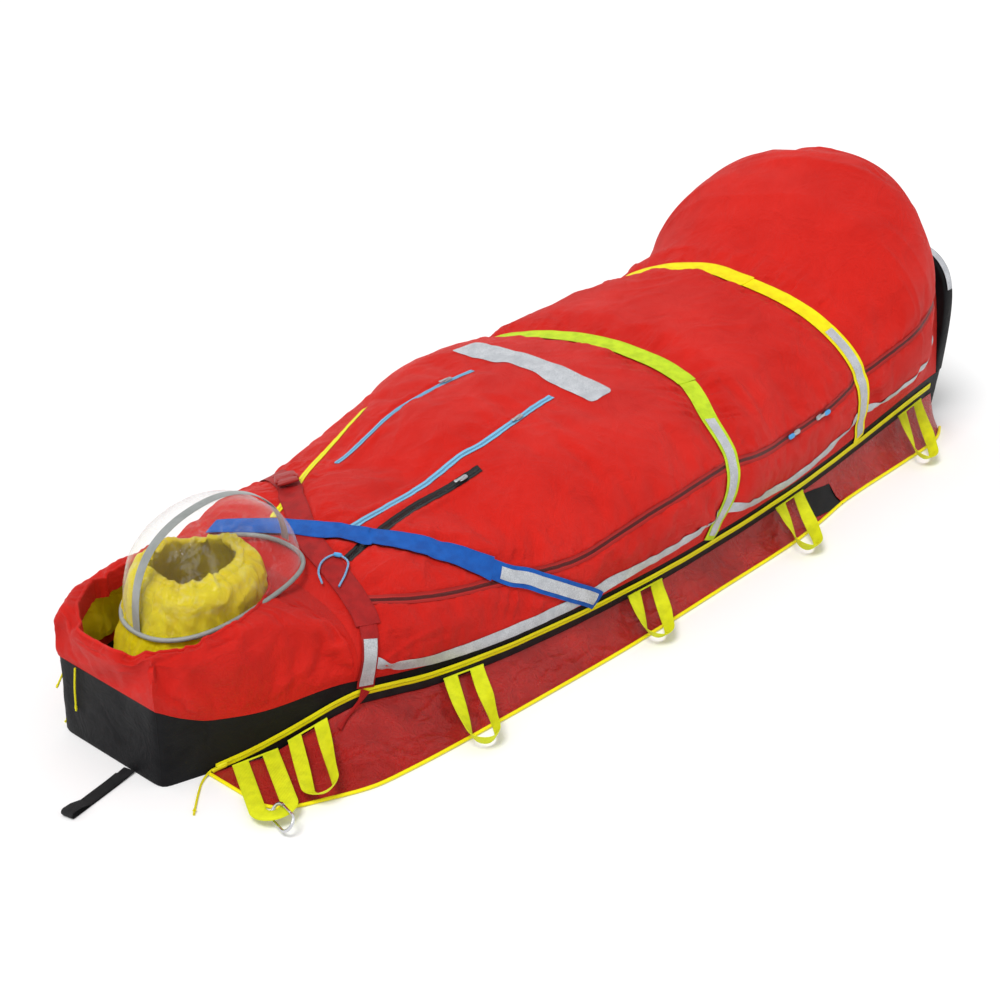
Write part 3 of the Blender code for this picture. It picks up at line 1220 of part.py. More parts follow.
def make_cords(skin, normals):
    """The collar's two drawcord tails at the head, and the elastic cord at the neck."""
    head_x = x_at(0.0) - CORD_RADIUS - 2 * SEAT_GAP
    tail = [Vector((head_x, 0.081, 0.154)), Vector((head_x - 0.001, 0.083, 0.135)),
            Vector((head_x - 0.0015, 0.086, 0.110)), Vector((head_x - 0.001, 0.088, 0.085)),
            Vector((head_x - 0.0005, 0.090, 0.062))]
    tube_mesh("head_drawcord", smooth_points(tail, 10), CORD_RADIUS, finish=(YELLOW, 0.6, 0.0))
    side_y = float(rim_half(0.012)) + CORD_RADIUS + 2 * SEAT_GAP
    x = x_at(0.012)
    tail = [Vector((x, side_y, 0.136)), Vector((x - 0.001, side_y + 0.002, 0.122)),
            Vector((x - 0.003, side_y + 0.006, 0.106)), Vector((x - 0.008, side_y + 0.012, 0.088)),
            Vector((x - 0.014, side_y + 0.018, 0.070))]
    tube_mesh("side_drawcord", smooth_points(tail, 10), CORD_RADIUS, finish=(YELLOW, 0.6, 0.0))
    height = UPPER_STRAP_LAYER + CORD_RADIUS + SKIN_GAP
    route = []
    for share, side in NECK_CORD_ROUTE:
        point, out = skin_spot(skin, normals, share, lambda p: abs(p[1] - side))
        route.append(point + out * height)
    tube_mesh("neck_cord", smooth_points(route, 28), CORD_RADIUS, finish=(PALE_BLUE, 0.6, 0.0))


def clear_scene():
    for item in list(bpy.data.objects):
        bpy.data.objects.remove(item)


clear_scene()
parts = bpy.data.collections.new("casualty_bag")
cutters = bpy.data.collections.new("casualty_bag_cutters")
bpy.context.scene.collection.children.link(parts)
bpy.context.scene.collection.children.link(cutters)

bag_skin, bag_normals = body_skin()
if bag_normals[10, COVER_HALF_STEPS + 1, 2] < 0:
    bag_normals = -bag_normals
make_tub()
make_mat()
make_cover(bag_skin, bag_normals)
make_foot_panel()
make_collar()
make_hood()
make_window()
bag_tree = skin_tree(bag_skin)
chest_line = make_straps(bag_skin, bag_normals, bag_tree)
make_tapes(bag_skin, bag_normals)
make_side_zips()
make_sheet()
make_stowed_sheet()
make_loops()
make_carabiner()
make_side_sliders()
make_cover_sliders(bag_skin, bag_normals)
make_buckle(chest_line)
make_pull_loop()
make_cords(bag_skin, bag_normals)
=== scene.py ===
import math

import bpy
import numpy as np
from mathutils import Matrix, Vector
from mathutils.bvhtree import BVHTree


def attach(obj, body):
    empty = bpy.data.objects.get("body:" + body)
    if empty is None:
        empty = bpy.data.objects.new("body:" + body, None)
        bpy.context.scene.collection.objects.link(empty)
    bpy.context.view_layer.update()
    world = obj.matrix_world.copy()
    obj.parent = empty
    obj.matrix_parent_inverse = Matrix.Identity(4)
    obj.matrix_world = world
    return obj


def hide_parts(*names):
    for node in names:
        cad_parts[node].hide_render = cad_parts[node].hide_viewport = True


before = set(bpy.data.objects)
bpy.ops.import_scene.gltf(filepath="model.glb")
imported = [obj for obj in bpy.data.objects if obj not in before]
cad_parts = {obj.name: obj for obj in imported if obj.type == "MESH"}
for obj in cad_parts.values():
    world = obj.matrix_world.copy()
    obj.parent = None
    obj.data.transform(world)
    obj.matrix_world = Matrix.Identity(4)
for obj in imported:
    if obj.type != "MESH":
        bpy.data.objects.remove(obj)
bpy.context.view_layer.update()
scene = bpy.context.scene
print("frame loaded,", len(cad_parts), "nodes")

# Sizes of the bag that every piece is set out from, in metres. The head is at -X, the opened sheet at -Y.
bag = {
    "length": 2.20,
    # share of the length, half width of floor, half width and height of the rim, fullness, crest
    "rows": ((0.000, 0.138, 0.138, 0.157, 0.170, 0.250), (0.022, 0.151, 0.153, 0.128, 0.180, 0.251),
             (0.045, 0.165, 0.168, 0.108, 0.195, 0.252), (0.085, 0.194, 0.200, 0.099, 0.225, 0.256),
             (0.150, 0.238, 0.248, 0.110, 0.278, 0.258), (0.189, 0.265, 0.280, 0.104, 0.296, 0.270),
             (0.227, 0.288, 0.305, 0.100, 0.312, 0.284), (0.318, 0.322, 0.342, 0.096, 0.327, 0.299),
             (0.409, 0.335, 0.360, 0.095, 0.370, 0.350), (0.500, 0.340, 0.366, 0.095, 0.416, 0.373),
             (0.591, 0.335, 0.362, 0.096, 0.418, 0.366), (0.682, 0.325, 0.350, 0.098, 0.380, 0.387),
             (0.773, 0.308, 0.332, 0.103, 0.371, 0.408), (0.827, 0.295, 0.318, 0.108, 0.378, 0.425),
             (0.882, 0.282, 0.304, 0.114, 0.398, 0.545), (0.936, 0.270, 0.290, 0.120, 0.352, 0.600),
             (0.966, 0.264, 0.283, 0.123, 0.275, 0.597), (0.976, 0.262, 0.281, 0.124, 0.266, 0.592),
             (0.984, 0.261, 0.279, 0.124, 0.266, 0.562), (1.000, 0.258, 0.275, 0.125, 0.300, 0.430)),
    "zipHeights": ((0.043, 0.0085), (0.07, 0.020), (0.095, 0.035), (0.121, 0.054), (0.147, 0.073),
                   (0.168, 0.083), (0.195, 0.081), (0.23, 0.075), (0.45, 0.075), (0.68, 0.078),
                   (0.86, 0.088), (0.98, 0.098)),
    "sheetEdge": ((0.040, 0.305), (0.048, 0.332), (0.075, 0.364), (0.127, 0.403), (0.225, 0.415),
                  (0.390, 0.420), (0.570, 0.408), (0.660, 0.400), (0.715, 0.386), (0.775, 0.365),
                  (0.885, 0.352), (0.935, 0.345), (0.970, 0.318), (0.985, 0.290)),
    "shoulder": 0.42, "flatness": 0.97, "neck": 0.160, "foot": 0.984,
}


def xAt(share):
    return (np.asarray(share, float) - 0.5) * bag["length"]


def cubicBetween(values, tangents, i, h, u):
    # A cubic from value i to the next, with their tangents at its ends
    return (values[i] * (1 + 2 * u) * (1 - u) ** 2 + tangents[i] * h * u * (1 - u) ** 2
            + values[i + 1] * u * u * (3 - 2 * u) + tangents[i + 1] * h * u * u * (u - 1))


def throughRows(rows, column=1):
    # A cubic in each cell whose slopes are the harmonic means of its neighbours', so it never overshoots
    places = np.array([row[0] for row in rows], float)
    values = np.array([row[column] for row in rows], float)
    steps = np.diff(places)
    slopes = np.diff(values) / steps
    tangents = np.zeros(len(values))
    same = slopes[:-1] * slopes[1:] > 0
    left, right = 2 * steps[1:] + steps[:-1], steps[1:] + 2 * steps[:-1]
    safe = np.where(same, slopes[:-1], 1.0), np.where(same, slopes[1:], 1.0)
    tangents[1:-1] = np.where(same, (left + right) / (left / safe[0] + right / safe[1]), 0.0)
    tangents[0], tangents[-1] = slopes[0], slopes[-1]

    def value(share):
        share = np.clip(np.asarray(share, float), places[0], places[-1])
        cell = np.clip(np.searchsorted(places, share, side="right") - 1, 0, len(steps) - 1)
        return cubicBetween(values, tangents, cell, steps[cell], (share - places[cell]) / steps[cell])
    return value


floorHalf, rimHalf, rimHeight, sideFullness, crestHeight = (throughRows(bag["rows"], k) for k in range(1, 6))
zipHeight, sheetEdge = throughRows(bag["zipHeights"]), throughRows(bag["sheetEdge"])


# Shapes as arrays

def unit(vectors):
    return vectors / np.maximum(np.linalg.norm(vectors, axis=-1, keepdims=True), 1e-12)


def placed(*values):
    return np.stack(np.broadcast_arrays(*values), axis=-1)


def mirrored(points):
    return points * np.array([1, -1, 1])


def flatUnit(vectors):
    return unit(vectors * np.array([1, 1, 0]))


def smoothStep(low, high, value):
    t = np.clip((value - low) / (high - low), 0, 1)
    return t * t * (3 - 2 * t)


def softNoise(u, v, seed):
    # Random heights at whole numbers, blended by a smooth step, from -1 to 1
    table = np.random.default_rng(seed).uniform(-1, 1, (64, 64))
    u, v = np.broadcast_arrays(np.asarray(u, float), np.asarray(v, float))
    i, j = np.floor(u).astype(int), np.floor(v).astype(int)
    a, b = u - i, v - j
    a, b = a * a * a * (a * (a * 6 - 15) + 10), b * b * b * (b * (b * 6 - 15) + 10)
    i, j, k, l = i % 64, j % 64, (i + 1) % 64, (j + 1) % 64
    return ((table[i, j] * (1 - a) + table[k, j] * a) * (1 - b)
            + (table[i, l] * (1 - a) + table[k, l] * a) * b)


def creases(u, v, seed):
    # Sharp ridges where bent soft noise crosses zero, with a finer set half as high, from -1 to 1
    bendU = u + 0.7 * softNoise(u * 0.6, v * 0.6, seed + 1)
    bendV = v + 0.7 * softNoise(u * 0.6 + 9, v * 0.6 + 4, seed + 2)
    first = 1 - 2.6 * np.abs(softNoise(bendU, bendV, seed))
    second = 1 - 2.6 * np.abs(softNoise(bendU * 1.9 + 3, bendV * 1.9 + 7, seed + 3))
    return (first + 0.5 * second) / 1.5


def outwardNormals(grid, wrap=False, centre=None):
    # The cross product of the steps to the next rows and columns, turned away from a centre
    around = np.roll(grid, -1, axis=1) - np.roll(grid, 1, axis=1) if wrap else np.gradient(grid, axis=1)
    normals = unit(np.cross(np.gradient(grid, axis=0), around))
    centre = grid.mean(axis=(0, 1)) if centre is None else np.asarray(centre)
    return normals if ((grid - centre) * normals).sum() > 0 else -normals


def lengthsOf(points):
    steps = np.linalg.norm(np.diff(points, axis=0), axis=-1)
    return np.concatenate([[0], np.cumsum(steps)])


def smoothRoute(route, count):
    # Even steps along cubics through the route, each leaving a point along its neighbours' chord
    route = np.array([tuple(p) for p in route], float)
    lengths = lengthsOf(route)
    tangents = np.gradient(route, lengths, axis=0)
    d = np.linspace(0, lengths[-1], count)
    i = np.clip(np.searchsorted(lengths, d, side="right") - 1, 0, len(route) - 2)
    h = (lengths[i + 1] - lengths[i])[:, None]
    return cubicBetween(route, tangents, i, h, (d - lengths[i])[:, None] / h)


def gridIds(rows, columns, wrap=False, start=0):
    # The numbers of a grid's points, with the first column again at the end where it wraps round
    ids = start + np.arange(rows * columns).reshape(rows, columns)
    return np.concatenate([ids, ids[:, :1]], axis=1) if wrap else ids


def quadsOf(ids):
    return np.stack([ids[:-1, :-1], ids[:-1, 1:], ids[1:, 1:], ids[1:, :-1]], axis=-1).reshape(-1, 4)


def turnedOut(points, faces, uvs, uvFaces):
    # Faces are turned round where the volume they close comes out negative
    volume = 0.0
    for f in faces:
        p = points[f] - points.mean(axis=0)
        for k in range(1, f.shape[1] - 1):
            volume += (p[:, 0] * np.cross(p[:, k], p[:, k + 1])).sum()
    if volume < 0:
        faces, uvFaces = [f[:, ::-1] for f in faces], [f[:, ::-1] for f in uvFaces]
    return points, faces, uvs, uvFaces


def cappedRows(values, ids, caps):
    # The points and faces of rows, each end row drawn in to its middle where caps are wanted
    points, faces = values.reshape(-1, values.shape[-1]), [quadsOf(ids)]
    for row, way in ((0, -1), (-1, 1)) if caps else ():
        middle = np.full(ids.shape[1] - 1, len(points))
        points = np.concatenate([points, values[row].mean(axis=0)[None]])
        faces.append(np.stack([ids[row, :-1], ids[row, 1:], middle], axis=1)[:, ::way])
    return points, faces


def surfaceUvs(u, v):
    return np.stack(np.broadcast_arrays(np.asarray(u)[None, :], np.asarray(v)[:, None]), axis=-1)


def loftPart(loops, u=None, v=None, caps=True):
    # Closed loops carried along rows
    loops = np.asarray(loops, float)
    rows, columns = loops.shape[:2]
    u = lengthsOf(np.concatenate([loops[rows // 2], loops[rows // 2][:1]])) if u is None else u
    uvs = surfaceUvs(u, lengthsOf(loops.mean(axis=1)) if v is None else v)
    return turnedOut(*cappedRows(loops, gridIds(rows, columns, True), caps),
                     *cappedRows(uvs, gridIds(rows, columns + 1), caps))


def shellPart(outer, inner, uvs, wrap=False, coarse=1):
    # Two grids and the rims between them. The inner grid keeps every few rows and columns of the outer
    result = []
    for values, inside, closed in ((outer, inner, wrap), (uvs, uvs, False)):
        inside = inside[::coarse, ::coarse]
        ids = gridIds(*values.shape[:2], closed)
        inIds = gridIds(*inside.shape[:2], closed, values[..., 0].size)
        faces = [quadsOf(ids), quadsOf(inIds)[:, ::-1]]
        rims = [(ids[0], inIds[0], 1), (ids[-1], inIds[-1], -1)]
        if not wrap:
            rims += [(ids[:, 0], inIds[:, 0], -1), (ids[:, -1], inIds[:, -1], 1)]
        for far, near, way in rims:
            # a fan of thin triangles from each inner point, and one more to the next inner point
            k, m = np.arange(len(far) - 1), np.arange(len(near) - 1)
            fan = np.stack([far[k + 1], far[k], near[k // coarse]], axis=1)
            last = np.stack([far[(m + 1) * coarse], near[m], near[m + 1]], axis=1)
            faces.append(np.concatenate([fan, last])[:, ::way])
        size = values.shape[-1]
        result += [np.concatenate([values.reshape(-1, size), inside.reshape(-1, size)]), faces]
    return turnedOut(*result)


def ringShell(loops, u):
    # Loops that go up the outside, over the rim and down the inside, and meet again at the lower edge
    rows, columns = loops.shape[:2]
    v = np.concatenate([[0], np.cumsum(np.linalg.norm(np.diff(loops, axis=0), axis=-1).mean(axis=1))])
    ids, uvIds = gridIds(rows, columns, True), gridIds(rows, columns + 1)
    closing = np.stack([ids[-1, :-1], ids[-1, 1:], ids[0, 1:], ids[0, :-1]], axis=1)
    uvClosing = np.stack([uvIds[-1, :-1], uvIds[-1, 1:], uvIds[-1, 1:], uvIds[-1, :-1]], axis=1)
    return turnedOut(loops.reshape(-1, 3), [quadsOf(ids), closing],
                     surfaceUvs(u, v).reshape(-1, 2), [quadsOf(uvIds), uvClosing])


def ringFrames(path, closed=False):
    # Directions square to a path, carried along it without twisting
    run = unit(np.roll(path, -1, axis=0) - np.roll(path, 1, axis=0)) if closed else unit(np.gradient(path, axis=0))
    square = np.array([0.0, 0.0, 1.0]) if abs(run[0, 2]) < 0.9 else np.array([1.0, 0.0, 0.0])
    squares = []
    for r in run:
        square = square - r * square.dot(r)
        square = square / np.linalg.norm(square)
        squares.append(square)
    return np.array(squares), np.cross(run, np.array(squares))


def tubePart(path, radius, sides=10, closed=False):
    # A circle square to the path at each of its points
    path = np.asarray(path, float)
    a, b = ringFrames(path, closed)
    angle = np.linspace(0, 2 * math.pi, sides, endpoint=False)[None, :, None]
    radius = np.broadcast_to(np.asarray(radius, float), (len(path),))[:, None, None]
    loops = path[:, None] + radius * (np.cos(angle) * a[:, None] + np.sin(angle) * b[:, None])
    if closed:
        loops = np.concatenate([loops, loops[:1]])
    return loftPart(loops, np.linspace(0, 2 * math.pi * float(radius.mean()), sides + 1), caps=not closed)


def bandPart(rows, out, thickness, edge=0.35):
    # rows is a grid of points along and across a band. It is raised by its thickness, its edges rounded
    rows, out = np.asarray(rows, float), np.asarray(out, float)
    if out.ndim == 2:
        out = np.repeat(out[:, None], rows.shape[1], axis=1)
    lift = np.full(rows.shape[1], 1.0)
    lift[[0, -1]] = 1 - edge
    top, under = (rows + out * (thickness * share)[None, :, None] for share in (lift, 1 - lift))
    across = lengthsOf(rows[len(rows) // 2])
    across = across - across[-1] / 2
    return loftPart(np.concatenate([top, under[:, ::-1]], axis=1),
                    np.concatenate([across, across[::-1], across[:1]]), lengthsOf(rows[:, rows.shape[1] // 2]))


def blockPart(centre, axes, size, power=5.0, rows=12, columns=24):
    # A rounded block: the surface where the sum of the powers of the three shares of its half sizes is one
    v = np.linspace(-math.pi / 2, math.pi / 2, rows)[1:-1]
    u, v = np.meshgrid(np.linspace(0, 2 * math.pi, columns, endpoint=False), v)
    ball = np.stack([np.cos(v) * np.cos(u), np.cos(v) * np.sin(u), np.sin(v)], axis=-1)
    reach = (np.abs(ball) ** power).sum(axis=-1, keepdims=True) ** (-1 / power)
    return loftPart(np.asarray(centre) + (ball * reach * np.asarray(size) / 2) @ np.asarray(axes))


def newPiece(name, parts, finish, node=None, body="bag"):
    # One mesh at the origin from arrays of points and faces, with its own UV map in metres
    points, faces, uvs, uvFaces = [], [], [], []
    start = uvStart = 0
    for p, f, u, g in parts:
        points.append(p)
        uvs.append(u)
        faces += [a + start for a in f]
        uvFaces += [a + uvStart for a in g]
        start, uvStart = start + len(p), uvStart + len(u)
    points, uvs = np.concatenate(points), np.concatenate(uvs)
    counts = np.concatenate([np.full(len(f), f.shape[1]) for f in faces])
    corners, uvCorners = (np.concatenate([f.reshape(-1) for f in group]).astype(np.int32)
                          for group in (faces, uvFaces))
    mesh = bpy.data.meshes.new(name)
    mesh.vertices.add(len(points))
    mesh.vertices.foreach_set("co", points.astype(np.float32).ravel())
    mesh.loops.add(len(corners))
    mesh.loops.foreach_set("vertex_index", corners)
    mesh.polygons.add(len(counts))
    mesh.polygons.foreach_set("loop_start", np.concatenate([[0], np.cumsum(counts)[:-1]]).astype(np.int32))
    mesh.uv_layers.new(name="surface").data.foreach_set("uv", uvs[uvCorners].astype(np.float32).ravel())
    mesh.update(calc_edges=True)
    mesh.validate()
    mesh.shade_smooth()
    mesh.set_sharp_from_angle(angle=math.radians(50))
    material, slot = finishes[finish]
    mesh.materials.append(material)
    piece = bpy.data.objects.new(name, mesh)
    scene.collection.objects.link(piece)
    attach(piece, body)
    if node:
        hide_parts(node)
    return piece


# Camera

cameraView = {"target": (-0.118, -0.019, 0.15), "azimuth": 43.23, "drop": 27.47, "distance": 4.5, "lens": 80.31}


def makeCamera(view):
    turn, drop = math.radians(view["azimuth"]), math.radians(view["drop"])
    forward = Vector((math.cos(turn) * math.cos(drop), math.sin(turn) * math.cos(drop), -math.sin(drop)))
    lens = bpy.data.cameras.new("photoCamera")
    lens.lens, lens.sensor_width = view["lens"], 36
    camera = bpy.data.objects.new("photoCamera", lens)
    camera.location = Vector(view["target"]) - forward * view["distance"]
    camera.rotation_euler = forward.to_track_quat("-Z", "Y").to_euler()
    scene.collection.objects.link(camera)
    scene.camera = camera


makeCamera(cameraView)
print("camera set")


# Materials

def addNode(tree, kind, inputs, **settings):
    item = tree.nodes.new("ShaderNode" + kind)
    for key, value in settings.items():
        setattr(item, key, value)
    for key, value in inputs.items():
        setInput(tree, item.inputs[key], value)
    return item


def setInput(tree, socket, value):
    value = value.socket if isinstance(value, Flow) else value
    if isinstance(value, bpy.types.NodeSocket):
        tree.links.new(value, socket)
    else:
        socket.default_value = value


class Flow:
    # A value in a shader: arithmetic on it adds math nodes to its tree
    def __init__(self, tree, socket):
        self.tree, self.socket = tree, socket

    def maths(self, operation, other=0.0, clamp=False, turned=False):
        pair = (other, self) if turned else (self, other)
        item = addNode(self.tree, "Math", dict(enumerate(pair)), operation=operation, use_clamp=clamp)
        return Flow(self.tree, item.outputs[0])

    def __add__(self, other):
        return self.maths("ADD", other)

    def __sub__(self, other):
        return self.maths("SUBTRACT", other)

    def __mul__(self, other):
        return self.maths("MULTIPLY", other)

    def __truediv__(self, other):
        return self.maths("DIVIDE", other)

    def __rtruediv__(self, other):
        return self.maths("DIVIDE", other, turned=True)

    def __gt__(self, other):
        return self.maths("GREATER_THAN", other)

    def __lt__(self, other):
        return self.maths("LESS_THAN", other)

    def __abs__(self):
        return self.maths("ABSOLUTE")

    def sine(self):
        return self.maths("SINE")

    def split(self):
        parts = addNode(self.tree, "SeparateXYZ", {0: self})
        return Flow(self.tree, parts.outputs[0]), Flow(self.tree, parts.outputs[1])

    def noise(self, scale, detail, roughness=0.5, distortion=0.0):
        item = addNode(self.tree, "TexNoise", {"Vector": self, "Scale": scale, "Detail": detail,
                                               "Roughness": roughness, "Distortion": distortion})
        return Flow(self.tree, item.outputs[0])

    def spread(self, low, high, toLow, toHigh):
        item = addNode(self.tree, "MapRange", {"Value": self, 1: low, 2: high, 3: toLow, 4: toHigh})
        return Flow(self.tree, item.outputs[0])

    def between(self, a, b):
        # Colour a at 0 and b at 1
        a, b = ((*c, 1.0) if isinstance(c, tuple) else c for c in (a, b))
        item = addNode(self.tree, "Mix", {"Factor": self, 6: a, 7: b}, data_type="RGBA")
        return Flow(self.tree, item.outputs[2])


def newGroup(name, build, outputs, **inputs):
    # Its inputs are vectors, or numbers where a default is given. build turns them into the outputs' values
    tree = bpy.data.node_groups.new(name, "ShaderNodeTree")
    for label, value in inputs.items():
        kind = "NodeSocketVector" if value is None else "NodeSocketFloat"
        socket = tree.interface.new_socket(label, in_out="INPUT", socket_type=kind)
        if value is not None:
            socket.default_value = value
    for label in outputs:
        tree.interface.new_socket(label, in_out="OUTPUT", socket_type="NodeSocketFloat")
    given, result = tree.nodes.new("NodeGroupInput"), tree.nodes.new("NodeGroupOutput")
    for label, value in zip(outputs, build(*(Flow(tree, given.outputs[label]) for label in inputs))):
        tree.links.new(value.socket, result.inputs[label])
    return tree


def crumple(place, surface, size, thread):
    # Cloth that has been handled: soft waves, sharp little creases and the thread's own grain
    scale = 1.0 / size
    sharp = abs(place.noise(scale, 3.0, 0.55, 0.9) - 0.5)
    fineSharp = abs(place.noise(scale * 4.2, 2.0, 0.6, 1.4) - 0.5)
    across, along = surface.split()
    pace = 2 * math.pi / thread
    grain = (across * pace).sine() * (along * pace).sine() * 0.035
    # The second output is a random tone plus painted shade: darker between the crease ridges and lighter on them
    return sharp * -1.6 + fineSharp * -0.45 + grain, place.noise(5.0, 4.0, 0.6) + sharp * -0.5


def weave(surface, rib, halfWidth):
    # Flat woven webbing by its UV in metres: slanting ribs that meet in the middle, and a closed selvedge
    across, along = surface.split()
    side = abs(across)
    ribs = ((along + side * 0.8) * (2 * math.pi / rib)).sine()
    ends = (across * (2 * math.pi / 0.0024)).sine()
    # The shade is the ribs' own wave, painted darker in their valleys, with a random tone
    return ribs * 0.35 + ends * 0.25, side > halfWidth * 0.88, ribs * 0.12 + surface.noise(40.0, 3.0)


def coil(surface, pitch, halfCoil):
    # A coil zip by its UV in metres: round teeth in the middle between two rows of stitches
    across, along = surface.split()
    side = abs(across)
    inCoil = side < halfCoil
    teeth = ((along / pitch + (across > 0.0) * 0.5) * (2 * math.pi)).sine()
    crown = (side / halfCoil).maths("SUBTRACT", 1.0, clamp=True, turned=True)
    onSeam = abs(side - halfCoil * 1.5) < 0.0004
    return inCoil, inCoil * (crown + teeth * 0.45), onSeam * ((along * 1500.0).sine() > -0.4)


def beads(place):
    # Reflective tape: tiny glass beads, faint cells and scuffed patches
    grains = addNode(place.tree, "TexVoronoi", {"Vector": place, "Scale": 900.0})
    cells = addNode(place.tree, "TexVoronoi", {"Vector": place, "Scale": 230.0}, feature="DISTANCE_TO_EDGE")
    line = Flow(place.tree, cells.outputs[0]) < 0.06
    height = Flow(place.tree, grains.outputs[0]) * 0.4 + line * -0.3
    return height, place.noise(32.0, 5.0, 0.65) - line * 0.25


def braid(surface):
    # Braided cord by its UV in metres: two sets of strands that cross
    across, along = surface.split()
    a, b = ((across + along) * 2600.0).sine(), ((across - along) * 2600.0).sine()
    return a.maths("MAXIMUM", b), a * b > 0.45


crumpleGroup = newGroup("clothCrumple", crumple, ("Height", "Shade"), Place=None, Surface=None, Size=1.0,
                        Thread=1.0)
webbingGroup = newGroup("webbingWeave", weave, ("Height", "Edge", "Shade"), Surface=None, Rib=1.0, Half=1.0)
zipGroup = newGroup("zipCoil", coil, ("Coil", "Height", "Stitch"), Surface=None, Pitch=1.0, Half=1.0)
beadGroup = newGroup("beadTape", beads, ("Height", "Shade"), Place=None)
braidGroup = newGroup("braidedCord", braid, ("Height", "Fleck"), Surface=None)


def useGroup(group, **inputs):
    tree = next(value.tree for value in inputs.values() if isinstance(value, Flow))
    return [Flow(tree, socket) for socket in addNode(tree, "Group", inputs, node_tree=group).outputs]


def startMaterial(name):
    material = bpy.data.materials.new(name)
    material.use_nodes = True
    tree = material.node_tree
    spots = addNode(tree, "TexCoord", {})
    return material, Flow(tree, spots.outputs["Object"]), Flow(tree, spots.outputs["UV"])


def endMaterial(material, height, depth, **inputs):
    # The bump from a height, and the shader's other inputs
    tree = material.node_tree
    if height:
        inputs["Normal"] = addNode(tree, "Bump", {"Height": height, "Distance": depth, "Strength": 1.0}).outputs[0]
    for label, value in inputs.items():
        setInput(tree, tree.nodes["Principled BSDF"].inputs[label.replace("_", " ")], value)
    return material


def clothMaterial(name, pair, size, depth, roughness, thread, sheen, coat, specular):
    material, place, surface = startMaterial(name)
    height, shade = useGroup(crumpleGroup, Place=place, Surface=surface, Size=size, Thread=thread)
    coating = {"Coat Weight": coat, "Coat Roughness": 0.22} if coat else {}
    # The base takes the pair's painted fold-shade colour where the crumple's shade is low, and the open colour
    # where it is high
    base = shade.spread(0.25, 0.62, 0.0, 1.0).between(*colours[pair])
    return endMaterial(material, height, depth, Base_Color=base, Sheen_Weight=sheen, Sheen_Roughness=0.45,
                       Roughness=shade.spread(0.3, 0.7, roughness + 0.1, roughness - 0.1),
                       Specular_IOR_Level=specular, **coating)


def webbingMaterial(name, pair, halfWidth, rib):
    material, _, surface = startMaterial(name)
    height, edge, shade = useGroup(webbingGroup, Surface=surface, Rib=rib, Half=halfWidth)
    dark, colour = colours[pair]
    # The ribs' painted shade and the darker selvedge both use the pair's first colour
    base = (edge * 0.45).between(shade.spread(0.3, 0.62, 0.0, 1.0).between(dark, colour), dark)
    return endMaterial(material, height, 0.0006, Base_Color=base, Roughness=0.6, Specular_IOR_Level=0.25)


def zipMaterial(name, tape, coil, halfCoil, pitch, roughness, gloss):
    material, place, surface = startMaterial(name)
    inCoil, height, stitch = useGroup(zipGroup, Surface=surface, Pitch=pitch, Half=halfCoil)
    worn, pale = tuple(v * 0.72 for v in tape), tuple(min(1.0, v * 1.3 + 0.02) for v in tape)
    base = stitch.between(inCoil.between(place.noise(30.0, 4.0).between(worn, tape), coil), pale)
    return endMaterial(material, height, 0.0012, Base_Color=base, Specular_IOR_Level=0.3,
                       Roughness=inCoil.spread(0, 1, roughness + 0.1, gloss))


def reflectiveMaterial(name):
    material, place, _ = startMaterial(name)
    height, shade = useGroup(beadGroup, Place=place)
    base = shade.spread(0.3, 0.62, 0.0, 1.0).between((0.40, 0.42, 0.45), (0.60, 0.62, 0.65))
    return endMaterial(material, height, 0.0004, Base_Color=base, Roughness=shade.spread(0.3, 0.7, 0.5, 0.3),
                       Metallic=0.25)


def cordMaterial(name, colour, fleck):
    material, _, surface = startMaterial(name)
    height, flecks = useGroup(braidGroup, Surface=surface)
    return endMaterial(material, height, 0.0004, Base_Color=flecks.between(colour, fleck), Roughness=0.6,
                       Specular_IOR_Level=0.3)


def metalMaterial(name, colour, roughness, metallic, worn):
    material, place, _ = startMaterial(name)
    marks = place.noise(180.0, 6.0, 0.7)
    base = marks.spread(0.58, 0.72, 0.0, 0.6).between(colour, worn)
    return endMaterial(material, marks, 0.0002, Base_Color=base,
                       Roughness=marks.spread(0.3, 0.7, roughness - 0.06, roughness + 0.14), Metallic=metallic)


def filmMaterial(name):
    # Clear film: thin where it faces the eye, glossy, and milky white where it turns away, the milky white being a
    # painted reflection
    material, place, surface = startMaterial(name)
    height, shade = useGroup(crumpleGroup, Place=place, Surface=surface, Size=0.09, Thread=0.5)
    facing = Flow(place.tree, addNode(place.tree, "LayerWeight", {"Blend": 0.5}).outputs["Facing"])
    # The rim's opacity shows the white base as a painted reflection where the film turns from the eye, and the
    # base is painted greyer between its creases
    rim, marks = facing.maths("POWER", 4.0) * 0.42, height.spread(-0.06, 0.0, 0.01, 0.05)
    return endMaterial(material, height, 0.0015, Alpha=rim.maths("ADD", marks, clamp=True), Roughness=0.06,
                       Base_Color=shade.between((0.78, 0.83, 0.86), (0.93, 0.95, 0.96)), Specular_IOR_Level=0.7)


# On cloth the first colour of each pair is painted shade in the folds and the second the colour in the open; on
# webbing the first is the selvedge's colour and the painted shade in the ribs' valleys
colours = {  # in the folds, and in the open
    "shell": ((0.580, 0.007, 0.002), (0.700, 0.010, 0.003)),
    "black": ((0.003, 0.003, 0.004), (0.012, 0.012, 0.013)),
    "liner": ((0.860, 0.600, 0.002), (0.980, 0.820, 0.002)),
    "sheet": ((0.360, 0.008, 0.007), (0.640, 0.024, 0.020)),
    "yellow": ((0.860, 0.720, 0.003), (0.980, 0.890, 0.002)),
    "lime": ((0.430, 0.620, 0.012), (0.620, 0.820, 0.020)),
    "blue": ((0.002, 0.065, 0.330), (0.004, 0.110, 0.480)),
    "red": ((0.280, 0.006, 0.006), (0.430, 0.010, 0.009)),
    "loop": ((0.640, 0.710, 0.008), (0.830, 0.900, 0.012)),
    "grey": ((0.22, 0.235, 0.225), (0.34, 0.355, 0.345)),
}

